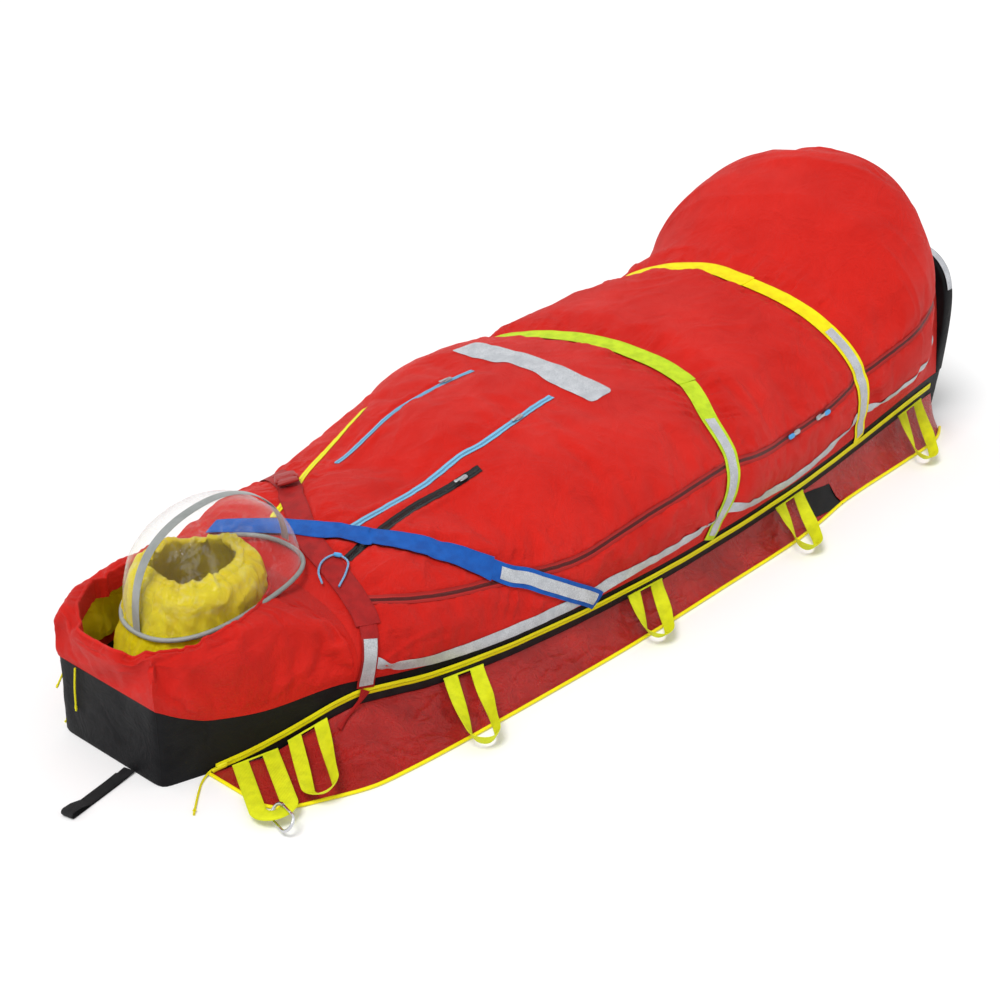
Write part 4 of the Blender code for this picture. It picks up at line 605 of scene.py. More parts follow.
finishRows = (
    # slot, colours, crease size, bump depth, roughness, thread, sheen, coat, specular
    (clothMaterial, (
        ("shellCloth", "shell_red", "shell", 0.070, 0.0060, 0.62, 0.0012, 0.03, 0.0, 0.25),
        ("coatedCloth", "coated_black", "black", 0.060, 0.0025, 0.50, 0.0016, 0.0, 0.0, 0.10),
        ("linerCloth", "liner_yellow", "liner", 0.045, 0.0075, 0.36, 0.0009, 0.03, 0.25, 0.25),
        ("matCloth", "liner_yellow", "liner", 0.020, 0.0020, 0.60, 0.0012, 0.03, 0.0, 0.25),
        ("sheetVinyl", "sheet_vinyl", "sheet", 0.040, 0.0110, 0.28, 0.0012, 0.0, 0.35, 0.30),
        ("pipingTape", "piping_yellow", "yellow", 0.020, 0.0012, 0.50, 0.0011, 0.03, 0.0, 0.25),
        ("hookTape", "hook_tape_black", "black", 0.004, 0.0020, 0.85, 0.0018, 0.03, 0.0, 0.25),
        ("greyTape", "binding_grey", "grey", 0.030, 0.0015, 0.42, 0.0011, 0.03, 0.2, 0.25))),
    # slot, colours, half width, rib
    (webbingMaterial, (
        ("blueWebbing", "webbing_blue", "blue", 0.024, 0.0028),
        ("redWebbing", "webbing_red", "red", 0.024, 0.0028),
        ("limeWebbing", "webbing_lime", "lime", 0.024, 0.0028),
        ("yellowWebbing", "webbing_yellow", "yellow", 0.024, 0.0028),
        ("loopWebbing", "webbing_lime", "loop", 0.014, 0.0022),
        ("blackWebbing", "webbing_black", "black", 0.0125, 0.0022))),
    # slot, tape, coil, half the coil's width, pitch, roughness of the tape and of the coil
    (zipMaterial, (
        ("redZip", "zip_red", (0.400, 0.009, 0.006), (0.120, 0.008, 0.007), 0.0034, 0.0018, 0.5, 0.35),
        ("blueZip", "zip_blue", (0.200, 0.500, 0.740), (0.165, 0.450, 0.700), 0.0026, 0.0016, 0.5, 0.35),
        ("yellowZip", "zip_yellow", (0.980, 0.890, 0.002), (0.960, 0.870, 0.003), 0.0016, 0.0016, 0.5, 0.35),
        ("blackZip", "zip_black", (0.003, 0.003, 0.004), (0.006, 0.006, 0.007), 0.0045, 0.0022, 0.20, 0.16))),
    # slot, colour, roughness, metallic, worn colour
    (metalMaterial, (
        ("sliderMetal", "slider_metal", (0.42, 0.43, 0.45), 0.34, 0.8, (0.30, 0.30, 0.31)),
        ("sliderYellow", "slider_yellow", (0.86, 0.80, 0.010), 0.35, 0.0, (0.55, 0.50, 0.05)),
        ("bluePlastic", "cord_blue", (0.060, 0.330, 0.680), 0.4, 0.0, (0.40, 0.60, 0.80)),
        ("mouldedPlastic", "moulded_red", (0.330, 0.012, 0.010), 0.42, 0.0, (0.20, 0.010, 0.009)),
        ("carabinerAlloy", "carabiner_alloy", (0.62, 0.63, 0.65), 0.2, 1.0, (0.30, 0.30, 0.31)))),
    (cordMaterial, (("yellowCord", "cord_yellow", (0.980, 0.890, 0.002), (0.70, 0.62, 0.01)),
                    ("blueCord", "cord_blue", (0.100, 0.360, 0.700), (0.70, 0.80, 0.88)))),
    (reflectiveMaterial, (("reflectiveTape", "reflective_tape"),)), (filmMaterial, (("clearFilm", "clear_film"),)),
)
finishes = {name: (make(name, *facts), slot) for make, rows in finishRows for name, slot, *facts in rows}
print("materials made:", len(finishes))


# The tub's wall and the cover's skin

def wallPoint(share, height, side):
    lean = np.clip(height / rimHeight(share), 0.0, 1.0)
    half = floorHalf(share) + (rimHalf(share) - floorHalf(share)) * lean
    return placed(xAt(share), side * half, height + 0 * half)


def wallOutward(share, side):
    ahead = wallPoint(np.minimum(share + 0.01, 1.0), zipHeight(share), side)
    behind = wallPoint(np.maximum(share - 0.01, 0.0), zipHeight(share), side)
    along = unit((ahead - behind)[..., :2])
    return placed(-side * along[..., 1], side * along[..., 0], 0.0)


panel = {"full": 0.305, "shoulder": 0.9, "height": 0.425, "soft": 0.007}


def archPoint(share, around, ofPanel=False):
    # Each half of a section is a cubic Bezier from the rim out to the side's fullness and in to the crest
    t = 1 - np.abs(2 * around - 1)
    rim, crest, full, bend = rimHeight(share), crestHeight(share), sideFullness(share), bag["shoulder"]
    if ofPanel:
        rim, crest, full, bend = rim + 0.0003, panel["height"], panel["full"], panel["shoulder"]
    shoulder = rim + bend * (crest - rim)
    side = ((1 - t) ** 3 * rimHalf(share) + 3 * (1 - t) ** 2 * t * full
            + 3 * (1 - t) * t * t * full * bag["flatness"])
    height = (1 - t) ** 3 * rim + 3 * (1 - t) ** 2 * t * shoulder + (3 * (1 - t) * t * t + t ** 3) * crest
    return placed(xAt(share), np.sign(around - 0.5) * side, height)


# Share, side and height of points on the straps, with the depth to which each draws the cover in, the side
# where its two parts meet, that of its tape's end, and the widths of tongue, lower strap and tape
strapLines = {
    "shoulder": {"draw": 0.002, "joint": -0.284, "tapeEnd": -0.292, "layer": 0.0052, "look": "blueWebbing",
                 "widths": (0.048, 0.040, 0.024), "points": (
        (0.404, -0.352, 0.094), (0.385, -0.345, 0.120), (0.350, -0.330, 0.165), (0.309, -0.288, 0.210),
        (0.270, -0.200, 0.245), (0.236, -0.100, 0.262), (0.213, 0.000, 0.270), (0.193, 0.080, 0.270),
        (0.176, 0.165, 0.255))},
    "chest": {"draw": 0.003, "joint": -0.250, "tapeEnd": -0.256, "layer": 0.0026, "look": "redWebbing",
              "widths": (0.048, 0.034, 0.027), "points": (
        (0.168, -0.266, 0.088), (0.171, -0.264, 0.150), (0.178, -0.250, 0.200), (0.190, -0.150, 0.255),
        (0.204, -0.045, 0.270), (0.232, 0.060, 0.272), (0.266, 0.175, 0.262), (0.290, 0.300, 0.200),
        (0.292, 0.350, 0.092))},
    "hip": {"draw": 0.008, "joint": -0.202, "tapeEnd": -0.295, "layer": 0.0026, "look": "limeWebbing",
            "widths": (0.046, 0.040, 0.024), "points": (
        (0.556, -0.372, 0.090), (0.566, -0.376, 0.138), (0.580, -0.368, 0.210), (0.590, -0.300, 0.315),
        (0.611, -0.202, 0.356), (0.6145, -0.066, 0.372), (0.609, 0.080, 0.370), (0.5955, 0.201, 0.352),
        (0.580, 0.320, 0.300), (0.566, 0.376, 0.180), (0.560, 0.372, 0.090))},
    "leg": {"draw": 0.009, "joint": -0.048, "tapeEnd": -0.264, "layer": 0.0026, "look": "yellowWebbing",
            "widths": (0.046, 0.040, 0.024), "points": (
        (0.820, -0.320, 0.096), (0.816, -0.331, 0.136), (0.806, -0.335, 0.250), (0.795, -0.280, 0.350),
        (0.791, -0.160, 0.405), (0.790, -0.048, 0.420), (0.791, 0.087, 0.418), (0.777, 0.189, 0.395),
        (0.765, 0.300, 0.300), (0.762, 0.325, 0.096))},
}

# Zips and strips on the cover. Side lines give share and height, top lines share and side
mainZipLine = ((0.192, 0.235), (0.285, 0.205), (0.373, 0.190), (0.490, 0.236), (0.570, 0.245), (0.660, 0.224),
               (0.727, 0.228), (0.818, 0.268), (0.895, 0.320), (0.962, 0.352))
stripLine = ((0.166, 0.150), (0.200, 0.122), (0.240, 0.110), (0.300, 0.106), (0.370, 0.108), (0.430, 0.116),
             (0.490, 0.132), (0.575, 0.150), (0.635, 0.124), (0.690, 0.116), (0.745, 0.130), (0.810, 0.168),
             (0.870, 0.180), (0.920, 0.206), (0.962, 0.224))
topLines = {
    "rightChest": ((0.236, -0.070), (0.364, -0.068), (0.400, -0.084), (0.486, -0.078)),
    "leftChest": ((0.312, 0.140), (0.386, 0.160), (0.445, 0.147), (0.482, 0.130)),
    "shoulderZip": ((0.212, 0.078), (0.250, 0.120), (0.290, 0.172), (0.341, 0.222), (0.400, 0.262)),
    "pocket": ((0.208, -0.132), (0.262, -0.114), (0.307, -0.106), (0.370, -0.124)),
}

cover = {"rows": 456, "columns": 201, "coarse": 5, "wall": 0.008, "billow": 0.0030, "fold": 0.0046,
         "drape": 0.0044, "pucker": 0.0024, "valley": 0.0034, "pleat": 0.0068, "rimPucker": 0.0016,
         "neckFold": 0.0034, "middle": (0.0, 0.0, 0.1), "endRings": 30, "endSwell": 0.012,
         "spare": 0.035, "pressure": 0.6, "bend": 1.5, "cap": 0.014}

aroundTable = np.linspace(0, 1, 2001)
middleArc = lengthsOf(archPoint(0.6, aroundTable))
evenAround = np.interp(np.linspace(0, middleArc[-1], cover["columns"]), middleArc, aroundTable)
coverShares = np.linspace(bag["neck"], bag["foot"], cover["rows"])
plainSkin = archPoint(coverShares[:, None], evenAround[None, :])
plainNormals = outwardNormals(plainSkin, centre=cover["middle"])


def linePoints(line, count, side=0):
    # The skin's points at a line's heights on one side, or at its sides on the top
    shares = np.linspace(line[0][0], line[-1][0], count)
    around = np.linspace(0.5 + side / 2, 0.5, 400) if side else np.linspace(0.1, 0.9, 800)
    grid = archPoint(shares[:, None], around[None, :])
    pick = np.argmin(np.abs(grid[:, :, 2 if side else 1] - throughRows(line)(shares)[:, None]), axis=1)
    return grid[np.arange(count), pick]


def strapPoints(strap, count=110):
    return smoothRoute([(float(xAt(share)), side, height) for share, side, height in strap["points"]], count)


def reachTo(points, line):
    # Least distance from each point to a line's points, and how far along the line that is
    best, place = np.full(points.shape[:-1], 9.0), np.zeros(points.shape[:-1])
    for length, target in zip(lengthsOf(line), line):
        gap = ((points - target) ** 2).sum(axis=-1)
        place = np.where(gap < best, length, place)
        best = np.minimum(gap, best)
    return np.sqrt(best), place


def coverRelief():
    # Heights over the plain skin: soft billows, long folds, drawn-in straps, and puckers along zips and rim
    x = plainSkin[:, :, 0]
    arc = np.stack([lengthsOf(row) for row in plainSkin])
    arc = arc - arc[:, [cover["columns"] // 2]]
    rimArc = np.minimum(arc - arc[:, :1], arc[:, -1:] - arc)
    share = coverShares[:, None] + 0 * x
    relief = cover["billow"] * softNoise(x / 0.19, arc / 0.17, 11)
    slant = creases((x + 0.55 * arc) / 0.16, (arc - 0.55 * x) / 0.085, 21)
    counter = creases((x - 0.7 * arc) / 0.14, (arc + 0.7 * x) / 0.075, 27)
    body = smoothStep(0.20, 0.30, share) * (1 - smoothStep(0.80, 0.86, share))
    relief += cover["fold"] * body * (0.45 * slant + 0.35 * counter)
    dome = smoothStep(0.80, 0.88, share) * (1 - smoothStep(0.965, 0.98, share))
    relief += cover["drape"] * dome * creases(x / 0.055 + 0.6 * arc / 0.2, arc / 0.26, 33)
    relief += cover["neckFold"] * (1 - smoothStep(0.20, 0.29, share)) * creases(arc / 0.045, x / 0.13, 41)
    calm, pull, hold = np.ones_like(x), np.zeros_like(x), np.zeros_like(x)
    for k, strap in enumerate(strapLines.values()):
        gap, along = reachTo(plainSkin, strapPoints(strap))
        near = np.exp(-(gap / 0.075) ** 2)
        relief += cover["pleat"] * near * creases(along / 0.036, gap / 0.16 + 5 * k, 51 + 7 * k)
        calm *= 0.06 + 0.94 * smoothStep(0.020, 0.040, gap)
        pull -= strap["draw"] * np.exp(-(gap / 0.042) ** 2)
        hold = np.maximum(hold, 1 - smoothStep(0.018, 0.036, gap))
    lines = [(linePoints(mainZipLine, 160, -1), 1.0)] + [(linePoints(line, 70), 0.8) for line in topLines.values()]
    for k, (line, weight) in enumerate(lines):
        gap, along = reachTo(plainSkin, line)
        lips = np.exp(-((gap - 0.016) / 0.009) ** 2)
        relief += weight * cover["pucker"] * lips * (0.7 + creases(along / 0.030, gap / 0.05, 81 + k))
        calm *= 0.15 + 0.85 * smoothStep(0.006, 0.016, gap)
        pull -= weight * cover["valley"] * np.exp(-(gap / 0.010) ** 2)
        hold = np.maximum(hold, 0.8 * (1 - smoothStep(0.008, 0.020, gap)))
    relief += cover["rimPucker"] * np.exp(-(rimArc / 0.06)) * creases(x / 0.028, rimArc / 0.10, 95)
    edges = smoothStep(0.0, 0.035, rimArc) * smoothStep(0.0, 0.012, share - bag["neck"])
    edges *= smoothStep(0.0, 0.012, bag["foot"] - share)
    underWindow = (1 - smoothStep(0.195, 0.215, share)) * (1 - smoothStep(0.15, 0.19, np.abs(arc)))
    hold = np.maximum(np.maximum(hold, 1 - smoothStep(0.010, 0.045, rimArc)), underWindow)
    hold = np.maximum(hold, 1 - smoothStep(0.004, 0.020, np.minimum(share - bag["neck"], bag["foot"] - share)))
    return relief * calm * edges, pull * edges, hold, underWindow, arc


clothSettings = {"quality": 5, "mass": 0.2, "air_damping": 4.0, "tension_stiffness": 18.0,
                 "compression_stiffness": 18.0, "shear_stiffness": 9.0, "vertex_group_mass": "held",
                 "pin_stiffness": 12.0, "use_pressure": True}


def settledCloth(grid, hold, wrap, sizes, frames=18, step=2):
    # Blender's cloth on a coarser copy of a grid: cut wider by a share, held where it is sewn or strapped,
    # and blown up softly, so that it buckles into folds. Each point may move as far as the cap
    picks = [np.unique(np.append(np.arange(0, size, step), size - 1)) for size in grid.shape[:2]]
    if wrap:
        picks[1] = np.arange(0, grid.shape[1], step)
    start, held = grid[np.ix_(*picks)], hold[np.ix_(*picks)]
    points, quads = start.reshape(-1, 3), quadsOf(gridIds(*start.shape[:2], wrap))
    corners = points[quads]
    facing = np.cross(corners[:, 1] - corners[:, 0], corners[:, 3] - corners[:, 0])
    if ((corners[:, 0] - points.mean(axis=0)) * facing).sum() < 0:
        quads = quads[:, ::-1]
    mesh = bpy.data.meshes.new("settling")
    mesh.from_pydata(points.tolist(), [], quads.tolist())
    piece = bpy.data.objects.new("settling", mesh)
    scene.collection.objects.link(piece)
    group = piece.vertex_groups.new(name="held")
    levels = np.round(held.ravel() * 12)
    for level in np.unique(levels[levels > 0]):
        group.add(np.flatnonzero(levels == level).tolist(), level / 12, "REPLACE")
    cloth = piece.modifiers.new("settle", "CLOTH")
    for key, value in {**clothSettings, "bending_stiffness": sizes["bend"], "shrink_min": -sizes["spare"],
                       "uniform_pressure_force": sizes["pressure"]}.items():
        setattr(cloth.settings, key, value)
    cloth.settings.effector_weights.gravity = 0.0
    cloth.collision_settings.use_collision = False
    cloth.point_cache.frame_start, cloth.point_cache.frame_end = 1, frames
    for number in range(1, frames + 1):
        scene.frame_set(number)
    settled = piece.evaluated_get(bpy.context.evaluated_depsgraph_get()).to_mesh()
    moved = np.empty(len(points) * 3, np.float32)
    settled.vertices.foreach_get("co", moved)
    bpy.data.objects.remove(piece)
    bpy.data.meshes.remove(mesh)
    scene.frame_set(1)
    move = moved.reshape(start.shape).astype(float) - start
    far = np.linalg.norm(move, axis=-1, keepdims=True)
    print("cloth settled:", len(points), "points, moved up to", round(float(far.max()), 4))
    move = move * np.minimum(1, sizes["cap"] / np.maximum(far, 1e-9)) * (1 - held ** 4)[..., None]
    if wrap:
        move = np.concatenate([move, move[:, :1]], axis=1)
        picks[1] = np.append(picks[1], grid.shape[1])
    for axis, pick in enumerate(picks):
        full = np.arange(grid.shape[axis])
        cell = np.clip(np.searchsorted(pick, full, side="right") - 1, 0, len(pick) - 2)
        share = (full - pick[cell]) / (pick[cell + 1] - pick[cell])
        share = share.reshape((-1, 1, 1) if axis == 0 else (1, -1, 1))
        move = np.take(move, cell, axis) * (1 - share) + np.take(move, cell + 1, axis) * share
    for _ in range(2):
        move = softened(move, 1)
        if wrap:
            move = (np.roll(move, 1, axis=1) + 2 * move + np.roll(move, -1, axis=1)) / 4
        else:
            move = softened(move.transpose(1, 0, 2), 1).transpose(1, 0, 2)
    return grid + move


def softened(values, times):
    values = values.copy()
    for _ in range(times):
        values[1:-1] = (values[:-2] + 2 * values[1:-1] + values[2:]) / 4
    return values


relief, pull, coverHold, underWindow, coverArc = coverRelief()
skin = settledCloth(plainSkin + plainNormals * pull[:, :, None], coverHold, False, cover, 22)
skin = skin + outwardNormals(skin, centre=cover["middle"]) * relief[:, :, None]
skin = skin * (1 - underWindow[..., None]) + (plainSkin - plainNormals * 0.0015) * underWindow[..., None]
skinNormals = outwardNormals(skin, centre=cover["middle"])


def makeCover():
    # The skin with its inner wall, and a rounded end wall over the foot panel
    outer = skin.copy()
    outer[:, [0, -1], 2] += 0.0003
    last, rings = outer[-1], cover["endRings"]
    middle = np.array([last[0, 0], 0.0, last[0, 2]])
    ends = []
    for k in np.linspace(0, 1, rings + 1)[1:-1]:
        ring = last + (middle - last) * k
        over = smoothStep(0.425, 0.47, ring[:, 2]) * (1 - np.abs(ring[:, 1]) / 0.3)
        ring[:, 0] = last[0, 0] - 0.0005 + cover["endSwell"] * over * math.sin(math.pi * min(1.0, k * 2.2))
        ends.append(ring)
    outer = np.concatenate([outer, np.array(ends), np.repeat(middle[None, None], len(last), axis=1)])
    endNormals = np.broadcast_to([1.0, 0.0, 0.0], (rings, len(last), 3))
    inner = outer - np.concatenate([skinNormals, endNormals]) * cover["wall"]
    inner[cover["rows"]:, :, 0] -= 0.002
    arc = np.concatenate([coverArc, np.repeat(coverArc[-1:], rings, axis=0)])
    fall = skin[-1, 0, 0] + np.linspace(0, 0.3, rings + 1)[1:, None]
    run = np.concatenate([skin[:, :, 0], fall + 0 * arc[:rings]])
    part = shellPart(outer, inner, np.stack([arc, run], axis=-1), coarse=cover["coarse"])
    newPiece("coverShell", [part], "shellCloth", "cover")


makeCover()
print("cover made")

rimGap = rimHeight(coverShares) - zipHeight(coverShares) - 0.010
nearWall = np.stack([wallPoint(coverShares, zipHeight(coverShares) + 0.0085 + rimGap * k, -1)
                     for k in np.linspace(0, 1, 5)], axis=1)
wholeSkin = np.concatenate([nearWall, skin, mirrored(nearWall[:, ::-1])], axis=1)
skinTree = BVHTree.FromPolygons([tuple(p) for p in wholeSkin.reshape(-1, 3)],
                                quadsOf(gridIds(*wholeSkin.shape[:2])).tolist())


def onSkin(points):
    # Nearest places on the cover's skin and the outward directions there
    places, outs = np.empty_like(points), np.empty_like(points)
    for k, point in enumerate(points):
        place, normal, _, _ = skinTree.find_nearest(Vector(point))
        away = place - Vector((place.x, 0.0, 0.08))
        places[k], outs[k] = place, (normal if normal.dot(away) > 0 else -normal)
    return places, outs


def crossRows(route, side, width, across=5):
    # A grid of points along a route and across it
    width = np.broadcast_to(np.asarray(width, float), (len(route),))
    shares = np.linspace(-0.5, 0.5, across)
    return route[:, None] + side[:, None] * (shares[None, :] * width[:, None])[..., None]


def laidBand(route, width, layer, thickness, across=5, smooth=4):
    # A band along a route, each point set down on the skin and raised by its layer
    places, outs = onSkin(np.asarray(route))
    outs, places = unit(softened(outs, 6)), softened(places, 2)
    grid = crossRows(places, unit(np.cross(unit(np.gradient(places, axis=0)), outs)), width, across)
    down, downOuts = (values.reshape(grid.shape) for values in onSkin(grid.reshape(-1, 3)))
    depth = softened(((down - grid) * outs[:, None]).sum(axis=-1), smooth)
    grid = grid + outs[:, None] * (depth[..., None] + layer)
    return bandPart(grid, unit(outs[:, None] + 0.5 * unit(downOuts)), thickness)


# Names of a strap's parts and nodes, how far each lies over the strap's layer, and its thickness
strapParts = (("Tongue", "_strap", 0.0, 0.0019), ("LowerStrap", "_strap_lower", -0.0006, 0.0017),
              ("Tape", "_strap_reflector", 0.0014, 0.0008))


def makeStraps():
    # Coloured tongues over the cover, and below each a narrower lower strap with reflective tape on it
    for name, strap in strapLines.items():
        route = strapPoints(strap, 190)
        joint, tapeEnd = (int(np.argmax(route[:, 1] > strap[key])) for key in ("joint", "tapeEnd"))
        lines = route[joint:], route[:joint + 1], route[2:tapeEnd]
        for line, width, (part, ending, raised, thickness) in zip(lines, strap["widths"], strapParts):
            newPiece(name + part, [laidBand(line, width, strap["layer"] + raised, thickness)],
                     "reflectiveTape" if part == "Tape" else strap["look"], name + ending)


tail = {"shares": (0.1685, 0.1640, 0.1570, 0.1490, 0.1420), "heights": (0.088, 0.071, 0.055, 0.044, 0.037),
        "gaps": (0.0050, 0.0080, 0.0110, 0.0190, 0.0300), "widths": (0.020, 0.008, 0.006, 0.007, 0.012)}


def makeTail():
    # The red webbing's spare end, twisted thin as it drops from the silver piece to the sheet
    shares, heights, gaps, widths = (np.array(tail[key]) for key in ("shares", "heights", "gaps", "widths"))
    outs = wallOutward(shares, -1)
    route = smoothRoute(wallPoint(shares, heights, -1) + outs * gaps[:, None], 60)
    places, known = np.linspace(0, 1, 60), np.linspace(0, 1, len(shares))
    out = unit(np.stack([np.interp(places, known, outs[:, k]) for k in range(3)], axis=1)
               + places[:, None] * np.array([0, 0, 0.7]))
    side = unit(np.cross(unit(np.gradient(route, axis=0)), out))
    rows = crossRows(route, side, np.interp(places, known, widths))
    newPiece("chestTail", [bandPart(rows, out, 0.0018)], "redWebbing")


makeStraps()
makeTail()
print("straps made")


def roundedEnds(width, lengths, radius):
    # Widths that narrow in a quarter circle at both ends
    inset = np.clip(radius - np.minimum(lengths, lengths[-1] - lengths), 0, radius)
    return width - 2 * (radius - np.sqrt(np.maximum(radius ** 2 - inset ** 2, 0)))


def makeCoverTapes():
    bar = archPoint(np.full(160, 0.516), np.linspace(0.2, 0.8, 160))
    bar = bar[(bar[:, 1] > -0.155) & (bar[:, 1] < 0.235)]
    lengths, radius = lengthsOf(bar), 0.014
    steps = np.concatenate([np.linspace(0, 1, 9) ** 2 * radius, [radius * 1.4]])
    inside = lengths[(lengths > radius * 1.5) & (lengths < lengths[-1] - radius * 1.5)]
    ends = np.concatenate([steps, inside, (lengths[-1] - steps)[::-1]])
    bar = np.stack([np.interp(ends, lengths, bar[:, k]) for k in range(3)], axis=1)
    barWidth = np.maximum(roundedEnds(0.062, ends, radius), 0.002)
    for name, route, width, finish, node, *facts in (  # the facts are layer, thickness, points across, smoothing
            ("mainZipTape", linePoints(mainZipLine, 330, -1), 0.020, "redZip", "main_zip"),
            ("rightChestZip", linePoints(topLines["rightChest"], 130), 0.015, "blueZip", "right_chest_zip"),
            ("leftChestZip", linePoints(topLines["leftChest"], 110), 0.012, "blueZip", "left_chest_zip"),
            ("shoulderZipTape", linePoints(topLines["shoulderZip"], 120), 0.014, "yellowZip", "shoulder_zip"),
            ("pocketZipTape", linePoints(topLines["pocket"], 110), 0.020, "blackZip", "pocket_zip"),
            ("bellyBar", bar, barWidth, "reflectiveTape", "belly_bar", 0.0007, 0.0009, 9, 1),
            ("nearReflectiveStrip", linePoints(stripLine, 330, -1), 0.022, "reflectiveTape",
             "near_reflective_strip", 0.0012, 0.0010, 5, 14),
            ("farReflectiveStrip", linePoints(stripLine, 330, 1), 0.022, "reflectiveTape",
             "far_reflective_strip", 0.0012, 0.0010, 5, 14)):
        newPiece(name, [laidBand(route, width, *(facts or (0.0008, 0.0014)))], finish, node)


makeCoverTapes()
print("zips and strips made")


# Tub, mat and foot panel

tub = {"wall": 0.004, "floor": 0.006, "corner": 3, "slack": 0.0012, "mat": 0.030, "matInset": 0.022,
       "seam": 0.0013, "end": bag["length"] / 2}


def perimeter(height, inset=0.0):
    # Round the tub at one height: near wall from head to foot, foot face, far wall back, head face
    shares = np.linspace(0, 1, 260)
    near = wallPoint(shares, height(shares) if callable(height) else np.full(260, float(height)), -1)
    near[:, 1] += inset
    far = mirrored(near)[::-1]
    foot = near[-1] + (far[0] - near[-1]) * np.linspace(0, 1, 34)[1:-1, None]
    head = far[-1] + (near[0] - far[-1]) * np.linspace(0, 1, 26)[1:-1, None]
    loop = np.concatenate([near, foot, far, head])
    loop[:, 0] = np.clip(loop[:, 0], inset - tub["end"], tub["end"] - inset)
    for _ in range(tub["corner"]):
        loop[:, :2] = (np.roll(loop, 1, axis=0) + 2 * loop + np.roll(loop, -1, axis=0))[:, :2] / 4
    return loop


def makeTub():
    # Wall rows that lean outwards with a little slack in the cloth, over the rim and down to the inner floor
    around = lengthsOf(perimeter(0.0))
    rows = []
    for k in np.linspace(0, 1, 15):
        loop = perimeter(lambda s: rimHeight(s) * k)
        out = unit(loop * np.array([0.3, 1.0, 0]))
        slack = tub["slack"] * math.sin(math.pi * k) * (creases(around / 0.16, 0 * around + 2.1 * k, 5) - 0.8)
        if k == 0:
            loop[:, :2] *= 0.9985
        rows.append(loop + out * slack[:, None])
    rows.insert(1, perimeter(0.003))
    inner = [perimeter(lambda s: np.maximum(rimHeight(s) * k, tub["floor"]), tub["wall"]) for k in (0.985, 0.5)]
    inner += [perimeter(tub["floor"] + 0.002, tub["wall"]), perimeter(tub["floor"], tub["wall"] + 0.004)]
    parts, grid = [loftPart(np.array(rows + inner))], np.array(rows)
    for side in (-1, 1):  # bound seams up the two head corners, at the points that reach furthest out
        reach = -grid[:, :, 0] + side * grid[:, :, 1]
        seam = np.stack([row[int(np.argmax(k))] for row, k in zip(grid, reach)])[1:-1]
        parts.append(tubePart(seam + np.array([0.0006, -side * 0.0006, 0]), tub["seam"], 8))
    newPiece("tubShell", parts, "coatedCloth", "base_tub")


def makeMat():
    # A slab with rounded edges that follows the tub's floor
    shares, low = np.linspace(0.012, 0.988, 120), tub["floor"] + 0.0003
    loops = []
    for k in np.linspace(0, math.pi, 9):
        inset = 0.010 * (1 - math.sin(k))
        near = placed(xAt(shares) * (1 - inset / tub["end"]), -(floorHalf(shares) - tub["matInset"] - inset),
                      low + tub["mat"] * (1 - math.cos(k)) / 2)
        loops.append(np.concatenate([near, mirrored(near[::-1])]))
    newPiece("matPad", [loftPart(np.array(loops))], "matCloth", "foam_mat")


def makeFootPanel():
    # A stiff arch-shaped panel: its outline swells from the front edge over the flank and back
    front, back = 1.0651, tub["end"]

    def archAt(x, around):
        arch = archPoint(0.984 + 0.016 * (x - front) / (back - front), around, True)
        arch[:, 0] = x
        return arch

    loops = []
    for k in np.linspace(0, math.pi, 15):
        x = front + (back - front) * (1 - math.cos(k)) / 2
        arch = archAt(x, np.linspace(0, 1, 120))
        loop = np.concatenate([arch, arch[-1] + (arch[0] - arch[-1]) * np.linspace(0, 1, 50)[1:-1, None]])
        middle = np.array([x, 0.0, 0.27])
        inset = panel["soft"] * (1 - math.sin(k) ** 0.6)
        loops.append(middle + (loop - middle) * (1 - inset / np.linalg.norm(loop - middle, axis=1, keepdims=True)))
    newPiece("footPanelPad", [loftPart(np.array(loops))], "coatedCloth", "foot_panel")
    grid = np.stack([archAt(x, np.linspace(0.17, 0.83, 110)) for x in np.linspace(1.0735, 1.0915, 5)], axis=1)
    outs = unit(outwardNormals(grid, centre=(1.08, 0.0, 0.2)) * np.array([0, 1, 1]))
    newPiece("footPanelTape", [bandPart(grid + outs * 0.0008, outs, 0.0011)], "reflectiveTape", "foot_reflector")


makeTub()
makeMat()
makeFootPanel()
print("tub, mat and foot panel made")


# Collar, hood and window

headEnd = {"middle": np.array([0.165 - tub["end"], 0.0, 0.0]), "inside": (-0.93, 0.0, 0.12), "halfLength": 0.176,
           "halfWidth": 0.164, "headHeight": 0.250, "neckHeight": 0.263, "bulge": 0.014, "gather": 0.0030,
           "fold": 0.0040, "crease": 0.0044, "foot": 0.0016, "sag": 0.006, "rim": 0.0035, "wall": 0.0065,
           "spare": 0.075, "pressure": 0.4, "bend": 0.6, "cap": 0.016, "stand": 0.014}


